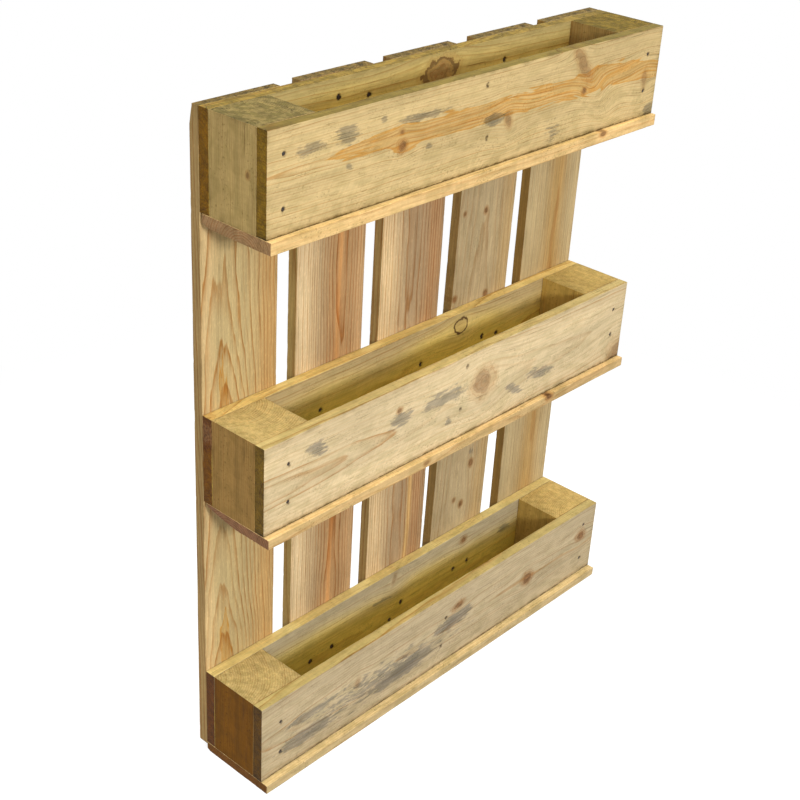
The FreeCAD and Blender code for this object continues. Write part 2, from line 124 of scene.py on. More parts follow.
def linear(hex_colour):
    """An sRGB hex colour as linear red, green and blue."""
    text = hex_colour.lstrip("#")
    share = np.array([int(text[i:i + 2], 16) for i in (0, 2, 4)]) / 255.0
    return np.where(share <= 0.04045, share / 12.92, ((share + 0.055) / 1.055) ** 2.4)


WHITE = (*linear("#FFFFFF"), 1.0)


@dataclass
class Cut:
    """Which frame axes a kind of piece lies along, and on which side its show face is."""

    along: int
    across: int
    depth: int
    show_low: bool


# boards lie along X and show their front; floor boards show their top; slats and blocks stand
BOARD_CUT = Cut(along=0, across=2, depth=1, show_low=True)
FLOOR_CUT = Cut(along=0, across=1, depth=2, show_low=False)
UPRIGHT_CUT = Cut(along=2, across=0, depth=1, show_low=True)


@dataclass
class Knot:
    """A branch cut through: its middle, half length and width, turn, darkness and bark rim, and
    how deep its middle lies and how far it reaches in depth."""

    along: float
    across: float
    length: float
    width: float
    turn: float = 0.0
    tone: float = 0.8
    rim: float = 0.0
    deep: float = 0.0
    reach: float = THROUGH


@dataclass
class Stain:
    """A patch of blue stain: its middle, half length and half width, turn and strength, and how
    far it reaches in depth."""

    along: float
    across: float
    length: float
    width: float
    turn: float = 0.0
    strength: float = 1.0
    deep: float = 0.0
    reach: float = 8.0


@dataclass
class Band:
    """A streak of other colour along the grain, or a band of painted light on a shaded face: where
    it runs, how far it wanders, its colour, how sharp its edges are and whether it goes through to
    the rear."""

    across: float
    width: float
    colour: str
    strength: float = 1.0
    wander: float = 5.0
    start: float = -THROUGH
    stop: float = THROUGH
    edge: float = 2.0
    rear: bool = True


@dataclass
class Timber:
    """How one piece was sawn from its log, the colour of each side and what grew in it.

    Lengths are measured along the piece from its left end or foot, across it from its lower,
    left or front edge, and in depth from its show face. The pith is the log's centre line, and
    the first year moves the bold and faint years from ring to ring. A heartwood streak is a path
    of points: place along, middle across and half width. Weather is how grey the piece has
    become, and exposed how much more its upward faces have. Soil is how dirty its edges are, and
    foot how much darker its lower edge is, partly with grime and partly with painted shade.
    """

    face: str
    rear: str
    edge: str
    end: str
    pith_across: float
    pith_depth: float
    pith_rise: float = 0.0
    pith_dive: float = 0.0
    ring: float = 3.5
    first_year: int = 0
    knots: tuple = ()
    stains: tuple = ()
    bands: tuple = ()
    heart: tuple = ()
    weather: float = 0.4
    exposed: float = 0.1
    soil: float = 0.35
    foot: float = 0.0
    seed: int = 0


@dataclass
class Dent:
    """A round seat or hole sunk into one face: its axis in the frame, radius, depth, face and how
    strongly iron has blackened it."""

    place: np.ndarray
    radius: float
    depth: float
    axis: int
    low_side: bool
    bloom: float = 1.0


def noise(places, cell, seed):
    """Smooth noise from -1 to 1, in cells of the given lengths along, across and in depth.

    Each corner of the lattice of cells has a random value, and a place takes the mean of the
    eight corners round it, weighted by an S-curve of its distance from them.
    """
    table = np.random.default_rng(seed).uniform(-1.0, 1.0, NOISE_VALUES)
    points = places / np.array(cell)
    first = np.floor(points).astype(np.int64)
    share = points - first
    share = share * share * (3.0 - 2.0 * share)
    total = np.zeros(len(points))
    for corner in np.ndindex(2, 2, 2):
        parts = (first + np.array(corner)) * np.array(NOISE_HASH)
        key = parts[:, 0] ^ parts[:, 1] ^ parts[:, 2]
        weight = np.where(np.array(corner) == 1, share, 1.0 - share).prod(axis=1)
        total += weight * table[key % NOISE_VALUES]
    return total


def smooth_step(value, low, high):
    """0 below low, 1 above high, and an S-curve between."""
    share = np.clip((value - low) / (high - low), 0.0, 1.0)
    return share * share * (3.0 - 2.0 * share)


def lattice_lines(low, high, step, seats):
    """Places of a lattice's lines along one side: even steps, close lines at both ends for the
    worn edges, and close lines at both sides of each seat."""
    even = np.linspace(low, high, max(3, round((high - low) / step) + 1))
    edges = np.concatenate([low + EDGE_LINES, high - EDGE_LINES])
    offsets = np.concatenate([-SEAT_LINES, SEAT_LINES])
    near = (np.reshape(seats, (-1, 1)) + offsets).ravel()
    lines = np.unique(np.concatenate([even, edges, near]).clip(low, high))
    lines = lines[np.append(True, np.diff(lines) > LEAST_LINE_GAP)]
    lines[-1] = high
    return lines


def lattice_shell(lines):
    """The outside of a box of lattice lines: on each of the six sides a grid of two of its three
    coordinates, with the grids' common borders welded by the corners' whole-number places."""
    counts = np.array([len(line) for line in lines])
    strides = np.array([counts[1] * counts[2], counts[2], 1])
    quads = []
    for axis in range(3):
        u, v = (axis + 1) % 3, (axis + 2) % 3
        i, j = np.meshgrid(np.arange(counts[u] - 1), np.arange(counts[v] - 1), indexing="ij")
        first = (i * strides[u] + j * strides[v]).ravel()
        round_cell = np.array([0, strides[u], strides[u] + strides[v], strides[v]])
        ring = first[:, None] + round_cell
        quads.append(ring[:, ::-1])
        quads.append(ring + (counts[axis] - 1) * strides[axis])
    codes, quads = np.unique(np.concatenate(quads), return_inverse=True)
    quads = quads.reshape(-1, 4)
    steps = (codes[:, None] // strides) % counts
    points = np.stack([lines[axis][steps[:, axis]] for axis in range(3)], axis=1)
    return points, quads


def rounded(points, low, high, radius):
    """A box with its edges turned round: each point is drawn in to the box shrunk by the radius,
    then pushed out again by the radius along the line between. Also gives the outward normals."""
    inner = np.clip(points, low + radius, high - radius)
    away = (points - inner) / radius
    away /= np.linalg.norm(away, axis=1, keepdims=True)
    return inner + away * radius, away


def oval_distance(grain, mark):
    """Distance from a mark's middle in units of its own half sizes, so 1 is its outline."""
    turn = math.radians(mark.turn)
    along = grain[:, 0] - mark.along
    across = grain[:, 1] - mark.across
    main = (along * math.cos(turn) + across * math.sin(turn)) / mark.length
    side = (across * math.cos(turn) - along * math.sin(turn)) / mark.width
    deep = (grain[:, 2] - mark.deep) / mark.reach
    return np.sqrt(main * main + side * side + deep * deep)


def growth(grain, size, timber):
    """Growth rings and fibres of a piece.

    A point's ring is its distance from the pith divided by the rings' spacing. The pith runs
    straight through the log, tilted to the board, and sways a little. Round a knot the fibres
    part: the distance across from the knot's middle shrinks towards it, so lines go round.
    Gives the parted fibre coordinates, the ring, the nearest knot's distance, darkness and rim.
    """
    across = grain[:, 1].copy()
    knot = np.full(len(grain), KNOT_FAR)
    tone = np.zeros(len(grain))
    rim = np.zeros(len(grain))
    for mark in timber.knots:
        distance = oval_distance(grain, mark)
        length = PART_ALONG * max(mark.length, mark.width)
        wide = Knot(mark.along, mark.across, length, PART_ACROSS * mark.width, mark.turn,
                    deep=mark.deep, reach=PART_DEEP * mark.reach)
        near = np.exp(-0.5 * oval_distance(grain, wide) ** 2)
        across -= PART_SHARE * (grain[:, 1] - mark.across) * near
        tone = np.where(distance < knot, mark.tone, tone)
        rim = np.where(distance < knot, mark.rim, rim)
        knot = np.minimum(knot, distance)
    fibre = np.stack([grain[:, 0], across, grain[:, 2]], axis=1)
    share = grain[:, 0] / size[0]
    pith_across = timber.pith_across + timber.pith_rise * share
    pith_depth = timber.pith_depth + timber.pith_dive * share
    distance = np.hypot(across - pith_across, grain[:, 2] - pith_depth)
    distance += SWAY_REACH * noise(fibre, (140.0, 60.0, 60.0), timber.seed + SWAY)
    distance += WAVER_REACH * noise(fibre, (45.0, 16.0, 16.0), timber.seed + WAVER)
    return fibre, distance / timber.ring + timber.first_year, knot, tone, rim


def heart_field(grain, timber):
    """Millimetres inside the heartwood streak: its half width less the distance from its middle
    line, both read off the path between its points."""
    if not timber.heart:
        return np.full(len(grain), -THROUGH)
    along, middle, half = np.array(timber.heart).T
    off_line = np.abs(grain[:, 1] - np.interp(grain[:, 0], along, middle))
    return np.interp(grain[:, 0], along, half) - off_line


def stain_field(grain, timber):
    """The strongest stain patch at a point: its strength, falling evenly past its outline."""
    strongest = np.zeros(len(grain))
    for mark in timber.stains:
        within = STAIN_END - oval_distance(grain, mark)
        strongest = np.maximum(strongest, mark.strength * within)
    return strongest


def tint_field(grain, fibre, away, cut, timber):
    """Colour of the bare wood: the sides' colours weighted by the squared normal, slow changes
    of value along and across, then the bands, which stay off the cut ends. Some sides' colours hold
    painted shade and painted light, and the back boards' bands are painted light in the troughs'
    shade."""
    weight = away ** 2
    towards_show = away[:, cut.depth] < 0 if cut.show_low else away[:, cut.depth] > 0
    face = np.where(towards_show[:, None], linear(timber.face), linear(timber.rear))
    tint = weight[:, cut.depth, None] * face
    tint += weight[:, cut.across, None] * linear(timber.edge)
    tint += weight[:, cut.along, None] * linear(timber.end)
    value = noise(fibre, (170.0, 26.0, 30.0), timber.seed + VALUE)
    tint *= 1.0 + VALUE_SWING * value[:, None]
    # bands: streaks of other colour, and on the back boards painted light that warms the troughs'
    # shade
    for number, band in enumerate(timber.bands):
        drift = noise(grain, (110.0, math.inf, math.inf), timber.seed + STREAK + number)
        off_middle = (fibre[:, 1] - band.across - band.wander * drift) / band.width
        strength = band.strength * np.exp(-np.abs(off_middle) ** band.edge)
        strength *= smooth_step(grain[:, 0], band.start, band.start + BAND_FADE)
        strength *= 1.0 - smooth_step(grain[:, 0], band.stop - BAND_FADE, band.stop)
        strength *= 1.0 - weight[:, cut.along]
        if not band.rear:
            strength *= towards_show * weight[:, cut.depth]
        shade = linear(band.colour) / linear(timber.face)
        tint *= 1.0 + strength[:, None] * (shade - 1.0)
    return tint


def write_mesh(name, points, quads, colours=None, vectors=None):
    """A smooth-shaded mesh object from arrays of corners and faces, with its attributes."""
    mesh = bpy.data.meshes.new(name)
    mesh.vertices.add(len(points))
    mesh.vertices.foreach_set("co", (points * MM).astype(np.float32).ravel())
    mesh.loops.add(quads.size)
    mesh.loops.foreach_set("vertex_index", quads.astype(np.int32).ravel())
    mesh.polygons.add(len(quads))
    mesh.polygons.foreach_set("loop_start", np.arange(0, quads.size, 4, dtype=np.int32))
    mesh.polygons.foreach_set("use_smooth", np.ones(len(quads), dtype=bool))
    mesh.update(calc_edges=True)
    for key, value in (vectors or {}).items():
        layer = mesh.attributes.new(key, "FLOAT_VECTOR", "POINT")
        layer.data.foreach_set("vector", value.astype(np.float32).ravel())
    for key, value in (colours or {}).items():
        layer = mesh.attributes.new(key, "FLOAT_COLOR", "POINT")
        layer.data.foreach_set("color", value.astype(np.float32).ravel())
    if mesh.validate():
        raise RuntimeError(f"{name} has faces that Blender had to mend")
    piece = bpy.data.objects.new(name, mesh)
    bpy.context.scene.collection.objects.link(piece)
    return piece


def dress(piece, node, material):
    """Lets a piece stand for a CAD node on the planter's one body."""
    piece.data.materials.append(material)
    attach(piece, "root")
    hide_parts(node)
    return piece


def node_box(node):
    """Lowest and highest corner of a CAD node in millimetres."""
    low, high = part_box(node)
    return np.array(low) / MM, np.array(high) / MM


def sink_dents(points, flat, low, high, cut, dents):
    """Presses each dent into its face, a flat seat with a sloping wall in a wide shallow dish, and
    gives how far iron has blackened the wood there, further along the grain than across it."""
    rust = np.zeros(len(flat))
    for dent in dents:
        others = [axis for axis in range(3) if axis != dent.axis]
        offset = flat - dent.place
        reach = np.linalg.norm(offset[:, others], axis=1)
        border = low[dent.axis] if dent.low_side else high[dent.axis]
        on_face = np.abs(flat[:, dent.axis] - border) < ON_FACE
        sink = dent.depth * (1.0 - smooth_step(reach, dent.radius, dent.radius + SEAT_WALL))
        sink += DISH_DEPTH * np.exp(-(reach / (DISH_WIDTH * dent.radius)) ** 2)
        inwards = 1.0 if dent.low_side else -1.0
        points[:, dent.axis] += np.where(on_face, inwards * sink, 0.0)
        smear = np.hypot(offset[:, cut.along] / IRON_ALONG, reach / IRON_ACROSS)
        black = np.exp(-np.minimum(reach / IRON_ROUND, smear) ** 2)
        rust += np.where(on_face, dent.bloom * black, 0.0)
    return rust


def board(node, cut, timber, material, dents=(), form=None):
    """One sawn piece that fills its CAD node's box.

    Its surface is the rounded lattice box, pressed in by slow unevenness of the faces, and by a
    dish and a seat round every nail. The arris radius changes along the piece, with chips.
    """
    pine = bpy.context.scene.planter_pine
    low, top = node_box(node)
    high = top if form is None else form.trim(low, top)
    step = np.full(3, pine.lattice_step / MM)
    step[cut.along] *= ALONG_STEP
    seats = [[dent.place[axis] for dent in dents if dent.axis != axis] for axis in range(3)]
    lines = [lattice_lines(low[a], high[a], step[a], seats[a]) for a in range(3)]
    flat, quads = lattice_shell(lines)
    order = [cut.along, cut.across, cut.depth]
    size = (high - low)[order]
    grain = flat[:, order] - low[order]
    if not cut.show_low:
        grain[:, 2] = size[2] - grain[:, 2]

    wear = noise(grain, (38.0, 30.0, 30.0), timber.seed + WEAR)
    chip = noise(grain, (11.0, 9.0, 9.0), timber.seed + CHIP)
    arris = pine.arris_radius / MM * (1.0 + ARRIS_SWING * wear)
    arris += CHIP_DEPTH * smooth_step(chip, 0.55, 0.9)
    radius = np.repeat(arris[:, None], 3, axis=1)
    radius[:, cut.along] *= END_ARRIS
    points, away = rounded(flat, low, high, radius)

    fibre, ring, knot, tone, rim = growth(grain, size, timber)
    press = SWELL_DEPTH * (1.0 + noise(grain, (90.0, 45.0, 45.0), timber.seed + SWELL))
    press += RIDGE_DEPTH * (1.0 + noise(fibre, (40.0, 5.0, 5.0), timber.seed + RIDGE))
    press *= 1.0 - KNOT_HARDNESS * smooth_step(1.4 - knot, 0.0, 0.8)
    points -= press[:, None] * away
    rust = sink_dents(points, flat, low, high, cut, dents)
    if form is not None:
        points = form.bend(points, low, top)

    gaps = np.sort(np.minimum(grain, size - grain), axis=1)
    grime = noise(grain, (28.0, 12.0, 12.0), timber.seed + GRIME)
    soil = np.exp(-gaps[:, 1] / GRIME_REACH) * (0.55 + 0.75 * grime)
    soil = timber.soil * np.clip(soil, 0.0, 1.0)
    # the foot: a dark line along the lower edge, partly grime and partly painted shade where the
    # board meets the lip below
    soil += timber.foot * np.exp(-grain[:, 1] / FOOT_REACH)
    weather = timber.weather * (1.15 - 0.5 * grain[:, 1] / size[1])
    weather += timber.exposed * smooth_step(away[:, 2], 0.5, 0.9)
    tint = tint_field(grain, fibre, away, cut, timber)
    colours = {"tint": np.concatenate([tint, tone[:, None]], axis=1)}
    vectors = {
        "fibre": fibre,
        "marks": np.stack([ring, knot, stain_field(grain, timber)], axis=1),
        "wear": np.stack([soil, rust, away[:, cut.along] ** 2], axis=1),
        "age": np.stack([heart_field(grain, timber), rim, weather], axis=1),
    }
    piece = write_mesh(f"pine_{node}", points, quads, colours, vectors)
    return dress(piece, node, material)


class Form:
    """A piece that is bent or planed out of a straight box."""

    def trim(self, low, high):
        """The upper corner of the straight box, here the node's own."""
        return high


@dataclass
class Lean(Form):
    """A slat nailed on askew: its top stands further right than its foot."""

    width: float

    def trim(self, low, high):
        """The box is only as wide as the slat."""
        return np.array([low[0] + self.width, high[1], high[2]])

    def bend(self, points, low, high):
        """X grows with height in even proportion, until the top reaches the node's right side."""
        lean = high[0] - low[0] - self.width
        share = (points[:, 2] - low[2]) / (high[2] - low[2])
        moved = points.copy()
        moved[:, 0] += lean * share
        return moved


@dataclass
class TopBevel(Form):
    """A slat whose rear is planed off towards its top."""

    depth: float
    height: float

    def bend(self, points, low, high):
        """Thickness shrinks evenly over the last stretch below the top."""
        share = np.clip((points[:, 2] - high[2] + self.height) / self.height, 0.0, 1.0)
        thick = high[1] - low[1]
        moved = points.copy()
        moved[:, 1] = low[1] + (points[:, 1] - low[1]) * (1.0 - share * self.depth / thick)
        return moved


@dataclass
class Wane(Form):
    """A floor board whose rear lower edge follows the round of the log."""

    left_run: float
    right_run: float
    rise: float

    def bend(self, points, low, high):
        """The underside climbs along an arc over the run, and the thickness shrinks with it."""
        share = (points[:, 0] - low[0]) / (high[0] - low[0])
        run = self.left_run + (self.right_run - self.left_run) * share
        into = np.clip((points[:, 1] - high[1] + run) / run, 0.0, 1.0)
        lift = self.rise * (0.55 * into + 0.45 * into * into)
        thick = high[2] - low[2]
        moved = points.copy()
        moved[:, 2] = low[2] + lift + (points[:, 2] - low[2]) * (1.0 - lift / thick)
        return moved


# the sides of the planter that each kind of nail is driven from: axis, and low side or not
NAIL_SIDES = {
    "front_nails": (1, True),
    "corner_nails": (1, False),
    "slat_nails": (1, True),
    "floor_nails": (2, True),
}
NAIL_CORNERS = 20
# two nails of a node stand further apart than this
NAILS_APART = 12.0
# a seat is wider and deeper than the head in it
SEAT_CLEARANCE = 0.2
SEAT_BELOW = 0.7
# how far hammer dings push a head's rim in or out, as a share of its radius
DING = 0.05
# corners this near to the outermost plane belong to a head's face
FACE_PLAY = 0.05


def nail_side(node):
    """The axis along which a node's nails are driven, and whether from its low side."""
    return NAIL_SIDES[node.split("_", 1)[1]]


def nail_places(node):
    """Middles of the nail heads' outer faces in a CAD nail node, in millimetres: the corners on
    the outermost plane are gathered into one group per nail."""
    axis, low_side = nail_side(node)
    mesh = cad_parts[node].data
    corners = np.empty(len(mesh.vertices) * 3, dtype=np.float32)
    mesh.vertices.foreach_get("co", corners)
    corners = corners.reshape(-1, 3).astype(float) / MM
    plane = corners[:, axis].min() if low_side else corners[:, axis].max()
    outer = corners[np.abs(corners[:, axis] - plane) < FACE_PLAY]
    places = []
    while len(outer):
        near = np.linalg.norm(outer - outer[0], axis=1) < NAILS_APART
        places.append((outer[near].min(axis=0) + outer[near].max(axis=0)) / 2.0)
        outer = outer[~near]
    return places


def nail_dents(node, bloom=1.0):
    """A seat in the wood for each nail of a node."""
    steel = bpy.context.scene.planter_steel
    radius = steel.head_diameter / MM / 2.0 + SEAT_CLEARANCE
    sink = steel.sink_depth / MM + SEAT_BELOW
    return [Dent(place, radius, sink, *nail_side(node), bloom) for place in nail_places(node)]


def nails(node, material):
    """All nails of a node: a profile of radius against depth, from the domed head over its rim
    and down the shank to the point, carried round each nail's axis."""
    steel = bpy.context.scene.planter_steel
    axis, low_side = nail_side(node)
    low, high = node_box(node)
    reach = (high - low)[axis]
    head = steel.head_diameter / MM / 2.0
    shank = steel.shank_diameter / MM / 2.0
    profile = np.array([
        (0.45 * head, 0.03), (0.8 * head, 0.1), (0.95 * head, 0.25), (head, 0.5),
        (0.97 * head, 1.2), (0.6 * head, 1.6), (shank, 2.2), (shank, reach - 6.0),
        (0.45 * shank, reach - 2.0),
    ])
    radii, depths = profile[:, 0, None], profile[:, 1, None]
    rows, sides = len(profile), NAIL_CORNERS
    angle = np.linspace(0.0, 2.0 * math.pi, sides, endpoint=False)

    row, around = np.meshgrid(np.arange(rows - 1), np.arange(sides), indexing="ij")
    here, after = row * sides + around, row * sides + (around + 1) % sides
    wall = np.stack([here, after, after + sides, here + sides], axis=-1).reshape(-1, 4)
    half = np.arange(0, sides, 2)
    fan = np.stack([half, half + 1, (half + 2) % sides], axis=1)
    count = rows * sides
    head_tip, point_tip = np.full((len(half), 1), count), np.full((len(half), 1), count + 1)
    start = np.concatenate([head_tip, fan[:, ::-1]], axis=1)
    finish = np.concatenate([point_tip, fan + count - sides], axis=1)
    quads = np.concatenate([wall, start, finish])
    if (axis == 1) != low_side:
        quads = quads[:, ::-1]

    u, v = [a for a in range(3) if a != axis]
    inwards = 1.0 if low_side else -1.0
    random = np.random.default_rng(len(node) * 131 + sum(map(ord, node)))
    all_points, all_quads = [], []
    for number, place in enumerate(nail_places(node)):
        dings = 1.0 + DING * random.uniform(-1.0, 1.0, (1, sides))
        rim = radii * np.where(radii > shank, dings, 1.0)
        points = np.empty((rows, sides, 3))
        points[:, :, u] = place[u] + rim * np.cos(angle)
        points[:, :, v] = place[v] + rim * np.sin(angle)
        points[:, :, axis] = place[axis] + inwards * depths
        tips = np.tile(place, (2, 1))
        tips[1, axis] += inwards * reach
        all_points.append(np.concatenate([points.reshape(-1, 3), tips]))
        all_quads.append(quads + number * (count + 2))
    piece = write_mesh(f"steel_{node}", np.concatenate(all_points), np.concatenate(all_quads))
    return dress(piece, node, material)


def add_node(tree, links=None, *, kind, out=0, stops=(), **settings):
    """Adds a node, sets its properties, fills or links its inputs and a ramp's stops, and gives
    the chosen output."""
    node = tree.nodes.new(kind)
    for key, value in settings.items():
        setattr(node, key, value)
    for number, (place, shade) in enumerate(stops):
        elements = node.color_ramp.elements
        stop = elements[number] if number < 2 else elements.new(place)
        stop.position = place
        stop.color = (shade, shade, shade, 1.0)
    for key, value in (links or {}).items():
        if isinstance(value, bpy.types.NodeSocket):
            tree.links.new(value, node.inputs[key])
        else:
            node.inputs[key].default_value = value
    return node.outputs[out] if len(node.outputs) else node


def node_adder(owner):
    """Empties the node tree of a material or world, and gives the function that fills it."""
    owner.use_nodes = True
    owner.node_tree.nodes.clear()
    return partial(add_node, owner.node_tree)


# settings of the kinds of node that the materials use most
TIMES = {"kind": "ShaderNodeMath", "operation": "MULTIPLY"}
TIMES_PLUS = {"kind": "ShaderNodeMath", "operation": "MULTIPLY_ADD"}
LARGER = {"kind": "ShaderNodeMath", "operation": "MAXIMUM"}
EVEN = {"kind": "ShaderNodeMapRange"}
SMOOTH = {"kind": "ShaderNodeMapRange", "interpolation_type": "SMOOTHSTEP"}
SCALED = {"kind": "ShaderNodeVectorMath", "operation": "SCALE"}
MIXED = {"kind": "ShaderNodeMix", "out": 2, "data_type": "RGBA"}
DARKENED = {"kind": "ShaderNodeMix", "out": 2, "data_type": "RGBA", "blend_type": "MULTIPLY"}

# stops of the lines across a growth ring, across a knot's ring and across a rim of bark
LATE_LINE = ((0.0, 0.05), (1.0, 0.05), (0.45, 0.12), (0.72, 0.5), (0.86, 1.0), (0.93, 0.95),
             (0.98, 0.1))
KNOT_LINE = ((0.0, 0.0), (1.0, 0.0), (0.55, 0.1), (0.85, 1.0))
BARK_LINE = ((0.72, 0.0), (0.90, 0.0), (0.77, 1.0), (0.85, 1.0))


@dataclass
class Finish:
    """How a kind of piece was sawn and how it has aged: how strong its late lines are on the
    faces and on the ends, how uneven from year to year, and how strong its fibres, woolly
    flecks, saw fuzz and end pores are."""

    name: str
    late: float
    end_late: float
    contrast: float
    fibre: float
    fleck: float
    fuzz: float
    pore: float
    roughness: float


def pine_material(finish):
    """Reclaimed softwood that was sawn, brushed and left bare.

    Its eye-catchers are the growth rings, pale early wood that darkens slowly into a brown late
    line and ends sharply, fibres drawn along the grain, orange heartwood, soft brown knots,
    blue-grey stain torn along the fibres, grey weathering, black iron marks and soiled edges, with
    painted shade in the grime at the front boards' feet.
    """
    found = bpy.data.materials.get(finish.name)
    if found is not None:
        return found
    pine = bpy.context.scene.planter_pine
    material = bpy.data.materials.new(finish.name)
    add = node_adder(material)
    tint = add(kind="ShaderNodeAttribute", attribute_name="tint")
    tone = add(kind="ShaderNodeAttribute", attribute_name="tint", out=3)
    fibre = add(kind="ShaderNodeAttribute", attribute_name="fibre", out=1)
    fields = []
    for name in ("marks", "wear", "age"):
        vector = add(kind="ShaderNodeAttribute", attribute_name=name, out=1)
        fields += [add({0: vector}, kind="ShaderNodeSeparateXYZ", out=axis) for axis in range(3)]
    ring, knot, stain, soil, rust, end, heart, rim, weather = fields

    def fibre_noise(along, across, detail=3.0, roughness=0.5, slant=0.0):
        """Noise with cells so many millimetres along and across the fibres, slanted if asked."""
        place = fibre
        if slant:
            turn = (0.0, 0.0, math.radians(slant))
            place = add({0: fibre, 2: turn}, kind="ShaderNodeMapping")
        cells = (1.0 / along, 1.0 / across, 1.0 / across)
        scaled = add({0: place, 1: cells}, kind="ShaderNodeVectorMath", operation="MULTIPLY")
        inputs = {"Vector": scaled, "Scale": 1.0, "Detail": detail, "Roughness": roughness}
        return add(inputs, kind="ShaderNodeTexNoise")

    # the rings' lines waver over 110 mm along and 12 mm across, and fade in and out over 90 mm
    waver = fibre_noise(110.0, 12.0, 2.0)
    phase = add({0: waver, 1: 0.9, 2: ring}, **TIMES_PLUS)
    within = add({0: phase}, kind="ShaderNodeMath", operation="FRACT")
    number = add({0: phase}, kind="ShaderNodeMath", operation="FLOOR")
    year = add({"W": number}, kind="ShaderNodeTexWhiteNoise", noise_dimensions="1D")
    late = add({0: within}, kind="ShaderNodeValToRGB", stops=LATE_LINE)
    bold = add({0: year, 1: finish.contrast}, kind="ShaderNodeMath", operation="POWER")
    bold = add({0: bold, 3: 0.22, 4: 1.0}, **EVEN)
    broken = add({0: fibre_noise(90.0, 5.0), 1: 0.35, 2: 0.55, 3: 0.55, 4: 1.0}, **EVEN)
    clear = add({0: knot, 1: 1.1, 2: 2.0, 3: 0.15, 4: 1.0}, **SMOOTH)
    for share in (bold, broken, clear):
        late = add({0: late, 1: share}, **TIMES)
    late_gain = add({0: end, 3: finish.late, 4: finish.end_late}, **EVEN)
    late_share = add({0: late, 1: late_gain}, **TIMES)

    # fibres: bundles 5 mm wide and 200 mm long, and single streaks, far finer in real wood, drawn
    # 1.6 by 70 mm to show
    bundle = fibre_noise(200.0, 5.0)
    streak = fibre_noise(70.0, 1.6)
    swing = {1: 0.37, 2: 0.63, 3: 1.0 - finish.fibre, 4: 1.0 + finish.fibre}
    values = [add({0: pattern, **swing}, **EVEN) for pattern in (bundle, streak)]

    # heartwood: a pale orange streak, ragged, with a dark edge and darker lines 2.4 mm apart
    ragged = fibre_noise(55.0, 7.0, 2.0)
    heart_edge = add({0: ragged, 1: 26.0, 2: heart}, **TIMES_PLUS)
    heart_share = add({0: heart_edge, 1: 11.6, 2: 14.0}, **SMOOTH)
    heart_fill = add({0: heart_share, 1: 0.6}, **TIMES)
    heart_line = add({0: fibre_noise(150.0, 2.4, 2.0), 1: 0.50, 2: 0.60, 4: 0.8}, **SMOOTH)
    heart_rim = add({0: heart_edge, 1: 17.5, 2: 13.2}, **SMOOTH)
    heart_dark = add({0: heart_line, 1: heart_rim}, **LARGER)
    heart_dark = add({0: heart_dark, 1: heart_share}, **TIMES)

    # weathering: grey patches of 34 by 13 mm, dark specks of 4 by 2.8 mm in clusters, and checks,
    # hairlines in real wood, drawn 1.6 mm wide to show
    grey_patch = add({0: fibre_noise(34.0, 13.0, 5.0, 0.6), 1: 0.43, 2: 0.60}, **SMOOTH)
    grey_share = add({0: grey_patch, 1: weather}, **TIMES, use_clamp=True)
    speck = add({0: fibre_noise(4.0, 2.8, 2.0), 1: 0.56, 2: 0.66}, **SMOOTH)
    cluster = add({0: fibre_noise(46.0, 22.0, 3.0), 1: 0.47, 2: 0.60}, **SMOOTH)
    speck_share = add({0: speck, 1: cluster}, **TIMES)
    speck_share = add({0: speck_share, 1: weather}, **TIMES, use_clamp=True)
    check = add({0: fibre_noise(75.0, 1.6, 2.0), 1: 0.64, 2: 0.71}, **SMOOTH)
    check_share = add({0: check, 1: 0.7}, **TIMES)

    # woolly flecks of 9 by 1.5 mm lift the sawn faces, and saw fuzz leans over them, 3.6 mm apart
    fleck_noise = fibre_noise(9.0, 1.5, 2.0)
    fleck = add({0: fleck_noise, 1: 0.52, 2: 0.66, 3: 1.0, 4: 1.0 + finish.fleck}, **SMOOTH)
    fuzz_noise = fibre_noise(3.6, 30.0, 3.0, slant=32.0)
    fuzz_depth = add({0: weather, 1: finish.fuzz}, **TIMES)
    fuzz_swing = add({0: fuzz_noise, 1: 0.37, 2: 0.63, 3: -1.0, 4: 1.0}, **EVEN)
    fuzz = add({0: fuzz_swing, 1: fuzz_depth, 2: 1.0}, **TIMES_PLUS)
    values += [fleck, fuzz]

    # blue stain creeps along the fibres, so its edge is ragged, in lobes of 22 by 6 mm
    lobes = fibre_noise(22.0, 6.0, 4.0, 0.65)
    blue = add({0: lobes, 1: 3.2, 2: stain}, **TIMES_PLUS)
    in_patch = add({0: stain, 1: 0.0, 2: 0.15}, **EVEN)
    in_streaks = add({0: streak, 1: 0.37, 2: 0.63, 3: 0.6, 4: 1.0}, **EVEN)
    blue_share = add({0: blue, 1: 1.95, 2: 2.5, 4: 0.88}, **SMOOTH)
    for share in (in_patch, in_streaks):
        blue_share = add({0: blue_share, 1: share}, **TIMES)
    blue_core = add({0: blue, 1: 2.8, 2: 3.6, 4: 0.4}, **SMOOTH)
    blue_core = add({0: blue_core, 1: in_patch}, **TIMES)

